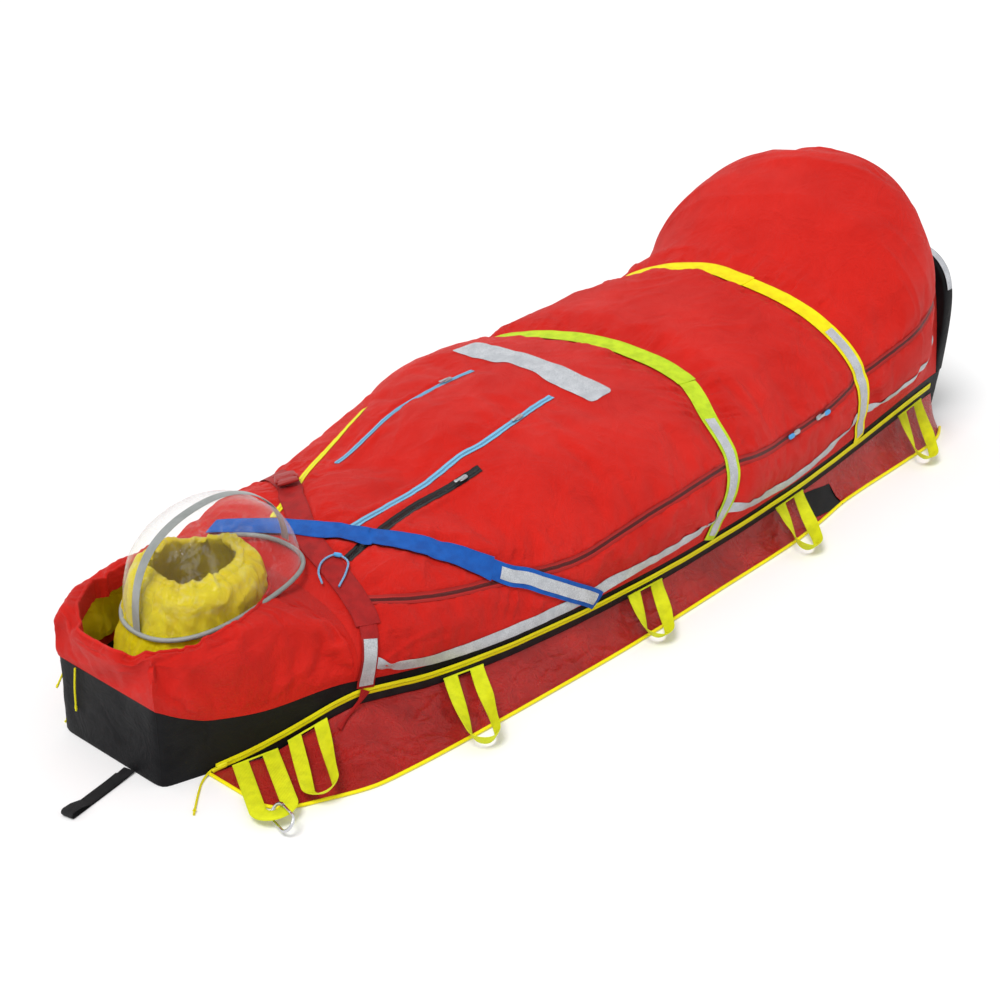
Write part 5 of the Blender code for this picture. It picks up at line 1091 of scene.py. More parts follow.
def collarLoops():
    # The lower edge round the tub's rim and the neck, and the oval rim above it by the same angles
    shares = np.linspace(bag["neck"], 0.0, 90)
    near = wallPoint(shares, rimHeight(shares), -1)
    far = mirrored(near)[::-1]
    face = near[-1] + (far[0] - near[-1]) * np.linspace(0, 1, 46)[1:-1, None]
    neck = archPoint(np.full(120, bag["neck"]), np.linspace(1, 0, 122)[1:-1])
    lower = np.concatenate([near, face, far, neck])
    onNeck = np.arange(len(lower)) >= len(lower) - len(neck)
    lower[~onNeck, 2] += 0.0004
    lower[onNeck, 0] -= 0.0004
    for _ in range(3):
        soft = (np.roll(lower, 1, axis=0) + 2 * lower + np.roll(lower, -1, axis=0)) / 4
        lower[90:136, :2] = soft[90:136, :2]
    centre = headEnd["middle"][0]
    angles = np.arctan2(lower[:, 1] / headEnd["halfWidth"], (lower[:, 0] - centre) / headEnd["halfLength"])
    height = headEnd["headHeight"] + (headEnd["neckHeight"] - headEnd["headHeight"]) * (1 + np.cos(angles)) / 2
    raised = smoothStep(-2.6, -1.7, angles) * (1 - smoothStep(-1.0, -0.45, angles))
    upper = placed(centre + headEnd["halfLength"] * np.cos(angles), headEnd["halfWidth"] * np.sin(angles),
                   height + headEnd["stand"] * raised)
    return lower, upper, onNeck, angles


def makeCollar():
    # Quadratic curves from the lower edge to the rim, gathered by the cord in it, with a turned-in hem
    lower, upper, onNeck, angles = collarLoops()
    bulge = lower + np.where(onNeck[:, None], (upper - lower) * 0.5,
                             flatUnit(lower - headEnd["middle"]) * headEnd["bulge"])
    bulge[~onNeck, 2] = headEnd["headHeight"] - headEnd["bulge"]
    k = np.linspace(0, 1, 61)[:, None, None]
    grid = (1 - k) ** 2 * lower + 2 * k * (1 - k) * bulge + k * k * upper
    around = lengthsOf(np.concatenate([lower, lower[:1]]))
    arc, k = around[:-1][None, :], k[:, :, 0]
    neck = softened(onNeck.astype(float), 12)[None, :]
    hold = np.maximum(np.maximum(1 - smoothStep(0.02, 0.10, k), neck), 0.10 * smoothStep(0.9, 1.0, k))
    grid = settledCloth(grid, hold, True, headEnd)
    body = smoothStep(0.0, 0.12, k)
    relief = headEnd["fold"] * np.sin(math.pi * np.clip(k, 0, 1)) * softNoise(arc / 0.13, k * 1.6 + 3, 61)
    relief += headEnd["crease"] * body * (1 - 0.5 * k) * creases((arc + 0.16 * k) / 0.10, k * 1.5 + arc / 0.4, 63)
    relief += headEnd["gather"] * smoothStep(0.45, 1.0, k) * creases(arc / 0.026, k * 0.9, 67)
    relief += headEnd["foot"] * (1 - smoothStep(0.0, 0.3, k)) * body * creases(arc / 0.035, k * 4, 69)
    relief = np.where(onNeck[None, :], np.minimum(relief * 0.35, 0.001), relief)
    grid = grid + outwardNormals(grid, True, headEnd["inside"]) * relief[:, :, None]
    sag = headEnd["sag"] * softNoise(angles * 1.3, 0 * angles, 73) * (1 - onNeck)
    grid[:, :, 2] += (k ** 3) * np.minimum(sag, 0.0)[None, :]
    normals = outwardNormals(grid, True, headEnd["inside"])
    inwards, top, rim, up = flatUnit(upper - headEnd["middle"]), grid[-1], headEnd["rim"], np.array([0, 0, 1.0])
    # a rolled rim, then the hem that hangs inside, and the wall's inner face
    loops = [top - inwards * rim * (1 - math.cos(turn)) + up * rim * math.sin(turn)
             for turn in np.linspace(0, math.pi, 9)[1:]]
    loops += [top - inwards * (2 * rim + drop * 0.05) - up * drop for drop in (0.006, 0.014, 0.024, 0.036)]
    loops += [grid[row] - normals[row] * headEnd["wall"] - (inwards * 0.004 if row == 48 else 0)
              for row in (48, 36, 24, 12, 0)]
    part = ringShell(np.concatenate([grid, np.array(loops)]), around)
    newPiece("collarShell", [part], "shellCloth", "head_collar")
    rows, columns = np.arange(46, 5, -2), slice(34, 190)
    level, place = k[rows].T, arc[0, columns][:, None]
    loose = 0.006 + 0.004 * softNoise(place / 0.09, level * 2.4, 75)
    loose += 0.006 * creases(place / 0.05, level * 2.2, 77)
    loose = np.clip(loose, 0.001, 0.014) * smoothStep(0.0, 0.2, 0.9 - level) + 0.0085
    wall = grid[rows][:, columns].transpose(1, 0, 2)
    faces = flatUnit(headEnd["middle"] - wall)
    lining = bandPart(wall + faces * loose[..., None], faces, 0.003)
    newPiece("collarLining", [lining], "linerCloth")


hood = {"profile": ((0.00, 0.95), (0.06, 1.08), (0.11, 1.15), (0.150, 1.12), (0.190, 1.03), (0.225, 0.96),
                    (0.258, 0.91), (0.288, 0.78)),
        "halfLength": 0.128, "halfWidth": 0.110, "middle": np.array([-0.897, -0.014, 0.0]), "base": 0.0369,
        "height": 0.288, "crush": 0.0062, "around": 0.12, "sag": 0.007, "wall": 0.019,
        "spare": 0.10, "pressure": 0.5, "bend": 0.3, "cap": 0.011}


def makeHood():
    # A padded sock: the profile turned round an oval, crushed into folds, and closed by a loose inner bag
    reach = throughRows(hood["profile"])
    heights, middle, crush = np.linspace(0, hood["height"], 70), hood["middle"], hood["crush"]
    angle = np.linspace(0, 2 * math.pi, 180, endpoint=False)

    def ringsAt(levels, shrink):
        size = reach(levels)[:, None]
        return placed(middle[0] + (hood["halfLength"] * size - shrink) * np.cos(angle),
                      middle[1] + (hood["halfWidth"] * size - shrink) * np.sin(angle),
                      hood["base"] + levels[:, None])

    level, arc = heights[:, None], angle * hood["around"]
    hold = np.maximum(1 - smoothStep(0.005, 0.05, level), 0.06 * smoothStep(0.26, 0.288, level))
    grid = settledCloth(ringsAt(heights, 0.0), hold + 0 * angle[None, :], True, hood)
    relief = crush * creases((arc + 0.5 * level) / 0.062, (level - 0.3 * arc) / 0.085, 101)
    relief += 0.6 * crush * creases(arc / 0.026, level / 0.075, 107)
    relief = np.clip(relief, -0.016, 0.0045) * smoothStep(0, 0.03, level)
    outer = grid + outwardNormals(grid, True) * relief[:, :, None]
    sag = softNoise(angle * 1.1, 0 * angle, 117)[None, :]
    outer[:, :, 2] += hood["sag"] * smoothStep(0.19, 0.288, level) * sag
    rim, away = outer[-1], flatUnit(outer[-1] - middle)
    draw = 0.009 + 0.004 * softNoise(angle * 2.2, 0 * angle, 119)[:, None]
    turned = [rim - away * draw * (1 - math.cos(turn)) + np.array([0, 0, 0.006]) * math.sin(turn)
              for turn in np.linspace(0, math.pi, 8)[1:]]
    inner = ringsAt(heights[::-1][4::6], hood["wall"])
    fold = 0.003 * creases(arc / 0.03 + 0 * inner[:, :, 0], inner[:, :, 2] / 0.04, 111)
    inner = inner + flatUnit(middle - inner) * (fold + 0.003)[:, :, None]
    part = ringShell(np.concatenate([outer, np.array(turned), inner]),
                     np.linspace(0, 2 * math.pi * hood["around"], 181))
    newPiece("hoodPad", [part], "linerCloth", "hood")


window = {"centre": -0.862, "side": -0.018, "halfLength": 0.174, "halfWidth": 0.124, "height": 0.155,
          "shift": -0.030, "headBase": 0.238, "neckBase": 0.2780, "ring": 0.0045, "hoopWidth": 0.019,
          "dent": 0.0016, "rows": 60, "columns": 128}


def windowSeat(x):
    chest = window["centre"] + window["halfLength"]
    onCover = float(crestHeight(chest / bag["length"] + 0.5)) + window["ring"] + 0.0005
    return throughRows(((window["centre"] - window["halfLength"], window["headBase"]),
                        (headEnd["middle"][0] + headEnd["halfLength"], window["neckBase"]), (chest, onCover)))(x)


def windowGrid(shrink, angle):
    # Superoval rings that shrink as the dome rises, their crest leaning towards the head
    rise = np.sin(np.linspace(0, 1, window["rows"]) * math.pi / 2)[:, None]
    reach = (1 - rise ** 2.4 * 0.99995) ** (1 / 2.4)
    swell = (np.abs(np.cos(angle)) ** 2.3 + np.abs(np.sin(angle)) ** 2.3) ** (-1 / 2.3)
    x = window["centre"] + (window["halfLength"] - shrink) * reach * np.cos(angle) * swell
    y = (window["halfWidth"] - shrink) * reach * np.sin(angle) * swell
    z = windowSeat(x) + window["ring"] * 0.78 + (window["height"] - shrink) * rise
    return placed(x + window["shift"] * rise ** 2, y + window["side"], z)


def makeWindow():
    # A thin skin with shallow dents, its ribbed edge tape, and the flat hoop that holds the dome up
    columns, ring = window["columns"], window["ring"]
    angle = np.linspace(0, 2 * math.pi, columns, endpoint=False)[None, :]
    row = np.linspace(0, 1, window["rows"])[:, None]
    grid = windowGrid(0.0028, angle)
    normals = outwardNormals(grid, True)
    dents = window["dent"] * creases(np.cos(angle) * 1.8 + row * 2, np.sin(angle) * 1.8 - row, 121)
    dents = (dents * np.sin(math.pi * row))[:, :, None]
    skins = [grid + normals * (dents - depth) for depth in (0.0012, 0.0021)]
    skins[1][0, :, 2] = skins[0][0, :, 2]
    for values in skins:
        values[-1] = values[-1].mean(axis=0)
    uvs = surfaceUvs(np.linspace(0, 0.9, columns + 1), np.linspace(0, 0.25, window["rows"]))
    part = shellPart(*skins, uvs, wrap=True)
    newPiece("windowFilm", [part], "clearFilm", "face_window", "window")
    crest = windowGrid(0.0027, angle)
    line = crest[0] + flatUnit(crest[0] - crest[0].mean(axis=0)) * ring * 0.78
    line[:, 2] -= ring * 0.78
    parts = [tubePart(line, ring, 12, closed=True)]
    line = smoothRoute(np.concatenate([crest[:, columns // 2], crest[::-1, 0][1:]])[::4], 110)
    run = unit(np.gradient(line, axis=0))
    out = unit(placed(-run[:, 2], 0.0, run[:, 0]))
    across = np.linspace(-0.5, 0.5, 7)
    hoop = line[:, None] + np.array([0, 1.0, 0]) * (across[None, :] * window["hoopWidth"])[..., None]
    hoop = hoop + out[:, None] * (0.0016 - (across ** 2 * 0.0022)[None, :, None])
    newPiece("windowEdge", parts + [bandPart(hoop, out, 0.0024)], "greyTape", "window_binding", "window")


makeCollar()
makeHood()
makeWindow()
print("collar, hood and window made")


# Sheets and side zips

sheet = {"thickness": 0.0018, "ripple": 0.0056, "zipWidth": 0.015, "seam": 0.017, "low": 0.0025,
         "piping": 0.0033, "pipingHeight": 0.0038, "patch": 0.5258, "patchHalf": 0.055, "roll": 0.0235}


def sheetRoot(shares):
    height = np.maximum(zipHeight(shares) - sheet["zipWidth"] / 2 - sheet["seam"] - 0.002, 0.0028)
    out = 0.001 + 0.0025 * np.clip((0.13 - shares) / 0.03, 0, 1)
    return wallPoint(shares, height, -1) + wallOutward(shares, -1) * out[:, None]


def sheetTop(shares, across):
    # From the wall down in a quadratic fall to the floor, with crisp crinkles that fade at its edges
    root, edge, v = sheetRoot(shares), sheetEdge(shares), across[None, :]
    side = root[:, 1:2] * (1 - v) - edge[:, None] * v
    x = xAt(shares)[:, None] + 0 * v
    height = sheet["low"] + (root[:, 2:3] - sheet["low"]) * (1 - v) ** 2
    flat = smoothStep(0.10, 0.24, shares)[:, None] * 0.8 + 0.2
    free = np.sin(math.pi * v) ** 0.8
    crinkle = 0.5 + 0.5 * creases((x + 0.3 * side) / 0.060, side / 0.040, 131)
    crinkle += 0.6 * (0.5 + 0.5 * creases((x - 0.4 * side) / 0.026, (side + 0.3 * x) / 0.022, 137))
    return placed(x, side, height + sheet["ripple"] * free * flat * np.clip(crinkle, 0, 1.4))


def makeSheet():
    top = sheetTop(np.concatenate([[0.0401], np.linspace(0.0425, 0.9825, 470)]), np.linspace(0, 1, 46))
    under = top - np.array([0, 0, sheet["thickness"]])
    under[:, :, 2] = np.maximum(under[:, :, 2], 0.0004)
    part = shellPart(top, under, top[:, :, 1::-1], coarse=5)
    piece = newPiece("openSheet", [part], "sheetVinyl", "rescue_sheet")
    line = np.concatenate([top[0, 1:-1], top[:, -1]])
    step = flatUnit(np.gradient(line, axis=0))
    line = smoothRoute((line + placed(step[:, 1], -step[:, 0], 0.0) * 0.0042)[::6], 420)
    line[:, 2] = sheet["pipingHeight"] + 0.0004 * np.abs(softNoise(np.arange(420) / 9.0, 0.0, 139))
    piping = newPiece("sheetPiping", [tubePart(line, sheet["piping"])], "pipingTape", "sheet_piping")
    x = sheet["patch"] + np.linspace(-sheet["patchHalf"], sheet["patchHalf"], 40)
    sides = np.linspace(-0.376, -0.336, 12)
    near = [int(np.argmin(np.abs(top[:, 0, 0] - place))) for place in x]
    heights = np.array([np.interp(sides, top[i, ::-1, 1], top[i, ::-1, 2]) for i in near])
    grid = placed(x[:, None], sides[None, :], softened(heights, 6) + 0.0012)
    newPiece("closingPatch", [bandPart(grid, placed(0 * heights, 0.0, 1.0), 0.0016)], "hookTape", "closing_patch")


def makeSideTapes():
    # Tapes up the wall between two heights, set off from it and waved a little by their stitching
    shares, seamShares = np.linspace(0.0451, 0.975, 460), np.linspace(0.132, 0.966, 420)
    low, high = (zipHeight(shares) + away for away in (-0.0074, 0.0074))
    top = zipHeight(seamShares) - sheet["zipWidth"] / 2 - 0.0005
    for name, along, low, high, thickness, side, wave, finish, node in (
            ("nearSideZip", shares, low, high, 0.0024, -1, 0.0008, "yellowZip", "near_side_zip"),
            ("farSideZip", shares, low, high, 0.0024, 1, 0.0008, "yellowZip", "far_side_zip"),
            ("seamTape", seamShares, top - sheet["seam"], top, 0.0018, -1, 0.0, "blackWebbing",
             "sheet_seam_tape")):
        out = wallOutward(along, side)
        ripple = wave * softNoise(xAt(along) / 0.06, 0 * along, 141)
        rows = np.stack([wallPoint(along, low + (high - low) * k + ripple, side) + out * 0.0006
                         for k in np.linspace(0, 1, 5)], axis=1)
        newPiece(name, [bandPart(rows, out, thickness)], finish, node)


def makeStowedSheet():
    # A soft roll along the far wall: the section swells and creases where the folded sheet bunches
    shares, turn = np.linspace(0.0751, 0.966, 330), np.linspace(0, 1, 26)
    x, out = xAt(shares)[:, None], wallOutward(shares, 1)
    top = np.maximum(zipHeight(shares) - 0.0045, 0.008)
    taper = np.clip(np.minimum(shares - 0.06, 0.985 - shares) / 0.05, 0.15, 1)
    reach, level = np.sin(math.pi * turn) ** 0.6, np.cos(math.pi * turn) * 0.5 + 0.5
    crinkle = creases(x / 0.045, turn[None, :] * 3 + x / 0.1, 151)
    bulge = sheet["roll"] * reach[None, :] * taper[:, None] * (0.86 + 0.12 * crinkle)
    loops = np.stack([wallPoint(shares, np.maximum(top * level[j], 0.0006), 1) + out * (0.0035 + bulge[:, j:j + 1])
                      for j in range(len(turn))], axis=1)
    newPiece("stowedRoll", [loftPart(loops)], "sheetVinyl", "stowed_sheet")


makeSheet()
makeSideTapes()
makeStowedSheet()
print("sheets and side zips made")


# Loops, carabiner and drag loop

loopRows = (  # root, rail, run, reach, webbing width, share of the twist, and how late it comes along the band
    ((-0.9335, -0.1936, 0.0095), (0.9413, -0.3204, 0.1061), (-0.5074, -0.8595, 0.0612), 0.2109, 0.030, 0.0, 1.0),
    ((-0.8379, -0.2268, 0.0368), (0.9011, -0.3037, 0.3095), (-0.5407, -0.8346, -0.1050), 0.1966, 0.026, 0.60, 1.2),
    ((-0.5334, -0.3179, 0.0585), (0.9801, -0.1987, 0.0), (-0.5225, -0.8046, -0.2821), 0.1930, 0.028, 0.98, 1.35),
    ((-0.0661, -0.3604, 0.0585), (0.9997, -0.0231, 0.0013), (-0.5761, -0.7298, -0.3682), 0.1436, 0.028, 0.86, 1.3),
    ((0.4250, -0.3442, 0.0618), (0.9972, 0.0740, 0.0133), (-0.5571, -0.7543, -0.3475), 0.1609, 0.028, 0.90, 1.25),
    ((0.9511, -0.2895, 0.0773), (0.9937, 0.1051, 0.0398), (-0.5983, -0.6844, -0.4167), 0.1685, 0.026, 0.86, 1.4))
loopShape = {"slot": 0.026, "thickness": 0.0022, "curl": 0.0010, "twist": math.radians(80), "stitches": 0.0019}


def makeLoops():
    # Two legs and a round end in one band, flat at the sewn root and turned on edge by the bend, as webbing lies
    for index, (root, rail, run, reach, width, turned, skew) in enumerate(loopRows):
        root, rail, run = np.array(root), np.array(rail), np.array(run)
        square = unit(np.cross(rail, run))
        across = unit(np.cross(run, square))
        across = across if across.dot(rail) > 0 else -across
        spread = (loopShape["slot"] + width) / 2
        leg = reach - spread - width / 2
        legs, arc = np.linspace(0, leg, 26), np.linspace(math.pi, 0, 34)[1:-1]
        path = np.concatenate([placed(-spread, legs), placed(spread * np.cos(arc), leg + spread * np.sin(arc)),
                               placed(spread, legs[::-1])])
        lengths = lengthsOf(path)
        step = unit(np.gradient(path, axis=0))
        side = placed(-step[:, 1], step[:, 0])
        k = np.linspace(-0.5, 0.5, 7)
        flat = path[:, None] + side[:, None] * (k[None, :] * width)[..., None]
        start = flat[:, :, 0] * (rail.dot(run) / rail.dot(across))
        blend = np.clip(1 - flat[:, :, 1] / 0.05, 0, 1)
        flat[:, :, 1] = np.maximum(flat[:, :, 1], 0) + start * blend
        up = square if square[2] > 0 else -square
        share = (lengths / lengths[-1]) ** skew
        free = smoothStep(0.0, 1.0, np.clip(np.minimum(share, 1 - share) / 0.46, 0, 1))
        turn = (loopShape["twist"] * turned * free)[:, None]
        cup = loopShape["curl"] * (np.abs(k) * 2) ** 2 * smoothStep(0, 0.03, path[:, 1])[:, None]
        cup = cup * softNoise(lengths / 0.05, 0.0, 160 + index)[:, None]
        flat = path[:, None] + (flat - path[:, None]) * np.cos(turn)[..., None]
        cup = cup + (k[None, :] + 0.5) * width * np.sin(turn)
        grid = (root + flat[:, :, :1] * across + flat[:, :, 1:] * run
                + up * (cup - loopShape["thickness"] / 2)[..., None])
        inward = -(side[:, :1] * across + side[:, 1:] * run)
        bar = (spread + width / 2) / across.dot(rail)
        parts = [bandPart(grid, unit(up * np.cos(turn) + inward * np.sin(turn)), loopShape["thickness"]),
                 tubePart(root + rail * np.linspace(-bar, bar, 20)[:, None], loopShape["stitches"])]
        newPiece("carryLoop%d" % (index + 1), parts, "loopWebbing", "carry_loop_%d" % (index + 1),
                 "loop_%d" % (index + 1))


carabiner = {"centre": (-1.0323, -0.3757, 0.0223), "long": (-0.2844, -0.9568, 0.0612),
             "short": (0.6161, -0.1831, 0.766), "half": 0.016, "straight": 0.018, "wire": 0.0030, "gate": 0.0023}


def makeCarabiner():
    # An oval of round wire, open on one side, with a slimmer sprung bar and a hinge barrel in the opening
    half, straight = carabiner["half"], carabiner["straight"]
    low, high = -straight * 0.82, straight * 0.9
    turn = np.linspace(0, math.pi, 28)
    flat = [(low, half), (-straight, half)]
    flat += [(-straight - half * math.sin(a), half * math.cos(a)) for a in turn[1:]]
    flat += [(a, -half) for a in np.linspace(-straight, straight, 10)[1:-1]]
    flat += [(straight + half * math.sin(a), -half * math.cos(a)) for a in turn]
    centre, longAxis, shortAxis = (np.array(carabiner[k]) for k in ("centre", "long", "short"))
    shortAxis = unit(shortAxis - longAxis * shortAxis.dot(longAxis))
    gate = [(a, half) for a in np.linspace(low + 0.0009, high - 0.0027, 16)]
    wire, gate = (np.array([centre + longAxis * a + shortAxis * b for a, b in line])
                  for line in (flat + [(high, half)], gate))
    radius = np.full(16, carabiner["gate"])
    radius[[0, -1]] *= 0.75
    for name, line, size, node, body in (("carabinerBody", wire, carabiner["wire"], "carabiner_body", "carabiner"),
                                         ("carabinerGate", gate, radius, "carabiner_gate", "gate")):
        newPiece(name, [tubePart(line, size, 16)], "carabinerAlloy", node, body)


dragLoop = {"width": 0.025, "thickness": 0.002, "reach": 0.165, "side": -0.054, "yaw": math.radians(12),
            "bight": 0.006}


def makeDragLoop():
    # Doubled webbing: out along the floor, round an open bight and back on itself
    t, reach, bight = dragLoop["thickness"], dragLoop["reach"], dragLoop["bight"]
    low = 0.0003 + t / 2
    back = low + t + 0.0006
    path = [(0.0, low + 0.0025), (0.02, low + 0.001), (0.05, low), (reach - 0.045, low), (reach - 0.02, low)]
    for angle in np.linspace(-math.pi / 2, math.pi / 2, 12)[1:]:
        path.append((reach - bight + bight * math.cos(angle), low + bight + bight * math.sin(angle)))
    path += [(reach - 0.025, low + bight * 1.7), (reach - 0.05, back), (0.05, back), (0.022, back + 0.001)]
    path = np.array(path)
    step, up = unit(np.gradient(path, axis=0)), np.array([0, 0, 1.0])
    outward = np.array([-math.cos(dragLoop["yaw"]), -math.sin(dragLoop["yaw"]), 0.0])
    across = np.array([-outward[1], outward[0], 0.0])
    behind = tub["end"] + 0.0006 + dragLoop["width"] / 2 * math.sin(dragLoop["yaw"])
    start = np.array([-behind, dragLoop["side"], 0.0])
    centre = start + path[:, :1] * outward + path[:, 1:] * up
    out = -step[:, 1:] * outward + step[:, :1] * up
    k = np.linspace(-0.5, 0.5, 7)
    grid = centre[:, None] + across * (k * dragLoop["width"])[None, :, None] - out[:, None] * t * 0.42
    newPiece("dragWebbing", [bandPart(grid, out, t * 0.84)], "blackWebbing", "drag_loop", "pull_webbing")


makeLoops()
makeCarabiner()
makeDragLoop()
print("loops, carabiner and drag loop made")


# Sliders and buckle

slider = {"body": (0.020, 0.011, 0.0045), "tab": (0.022, 0.006, 0.0016), "sink": 0.0011,
          "toggle": (0.020, 0.0095, 0.0060), "ride": 0.0024}


def axesOf(along, out):
    # Unit directions along, across and out, with along made square to out
    along = unit(along - out * np.dot(along, out))
    return np.stack([along, np.cross(out, along), out])


def placedBlocks(centre, axes, rows):
    # Blocks by their distances along, across and out from a centre, with their sizes and roundness
    return [blockPart(centre + np.array(away) @ axes, axes, *facts) for away, *facts in rows]


def sliderParts(point, along, out, ride):
    # Two shaped plates with a neck between them, a bridge over the top and a drop-shaped tab with its ring
    along = unit(along)
    out = unit(out - along * np.dot(out, along))
    axes, base = np.stack([along, np.cross(out, along), out]), point + out * ride
    long, wide, high = slider["body"]
    behind, above = 0.0020 - slider["tab"][0] / 2, high - 0.0006
    arc = np.linspace(0, math.pi, 14)
    bridge = base + placed(0.0048 * np.cos(arc), 0.0, 0.0026 + 0.0017 * np.sin(arc)) @ axes
    return [tubePart(bridge, 0.0007, 8)] + placedBlocks(base, axes, (
        ((0, 0, 0.0006), (long, wide, 0.0014 + slider["sink"]), 3.2),
        ((0.0012, 0, 0.0024), (long * 0.80, wide * 0.84, 0.0015), 3.0),
        ((0.0060, 0, 0.0015), (0.004, 0.003, 0.0024), 2.5),
        ((behind, 0, above), slider["tab"], 3.0, 14, 30),
        ((behind - 0.0078, 0, above + 0.0002), (0.0070, 0.0080, 0.0021), 2.6)))


def makeSliders():
    for name, share, where, way, body, node in (
            ("mainSliderHead", 0.690, None, 1, "main_slider_head", "main_zip_slider_1"),
            ("mainSliderFoot", 0.728, None, -1, "main_slider_foot", "main_zip_slider_2"),
            ("rightChestSlider", 0.440, "rightChest", 1, "right_slider", "right_chest_slider"),
            ("leftChestSlider", 0.455, "leftChest", 1, "left_slider", "left_chest_slider"),
            ("pocketSlider", 0.352, "pocket", 1, "pocket_zip_slider", "pocket_slider")):
        value = throughRows(topLines[where] if where else mainZipLine)
        near = [(s, float(value(s))) for s in (share - 0.01, share, share + 0.01)]
        before, spot, after = linePoints(near, 3, 0 if where else -1)
        out = plainNormals.reshape(-1, 3)[int(np.argmin(((plainSkin - spot) ** 2).sum(axis=-1)))]
        newPiece(name, sliderParts(spot, (after - before) * way, out, slider["ride"]), "sliderMetal", node, body)
        if not where:  # a ribbed moulded toggle on the end of the tab
            axes = axesOf(unit(after - before) * way, out)
            spot = spot + out * (slider["ride"] + 0.0046) - axes[0] * 0.0260
            grips = placedBlocks(spot, axes, [((0, 0, 0), slider["toggle"], 3.2, 14, 30)] + [
                ((k, 0, 0), (0.0016, 0.0106, 0.0069), 2.6) for k in (-0.005, 0.0, 0.005)])
            newPiece(name + "Toggle", grips, "bluePlastic", None, body)
    for name, side, body, node in (("nearSideSlider", -1, "bag", "near_zip_slider"),
                                   ("farSideSlider", 1, "far_slider", "far_zip_slider")):
        share = np.array(0.0498)
        place, ahead = (wallPoint(share + d, zipHeight(share + d), side) for d in (0.0, 0.01))
        out = wallOutward(share, side)
        newPiece(name, sliderParts(place + out * 0.0030, ahead - place, out, 0.0012), "sliderYellow", node, body)


buckle = {"at": (-0.5261, 0.1578, 0.2759), "out": (-0.063, 0.201, 0.978), "along": (0.033, 0.056, -0.010),
          "size": (0.056, 0.046, 0.013), "stand": 0.0057}


def makeBuckle():
    # Side-release buckle: a hollow-looking socket, the plug with its two side arms, and ladder bars
    axes = axesOf(np.array(buckle["along"]), unit(np.array(buckle["out"])))
    long, wide, high = buckle["size"]
    middle = np.array(buckle["at"]) + axes[2] * (buckle["stand"] + high / 2)
    arms = [((-0.08, side * 0.45, 0), (0.30, 0.0060 / wide, 0.62), 3.0) for side in (-1, 1)]
    rows = [((0.14, 0, 0), (0.56, 0.94, 0.9), 4.5, 20, 40), ((-0.30, 0, 0), (0.34, 0.86, 0.72), 4.0, 16, 36),
            ((-0.44, 0, 0), (0.005 / long, 0.96, 0.55), 3.0), ((0.46, 0, 0), (0.004 / long, 0.96, 0.60), 3.0),
            *arms, ((0.12, 0, 0.43), (0.34, 0.5, 0.0022 / high), 4.0)]  # as shares of the buckle's size
    size = np.array(buckle["size"])
    parts = placedBlocks(middle, axes, [(np.array(away) * size, np.array(part) * size, *facts)
                                        for away, part, *facts in rows])
    newPiece("chestBuckle", parts, "mouldedPlastic", "chest_buckle")


makeSliders()
makeBuckle()
print("sliders and buckle made")


# Cords

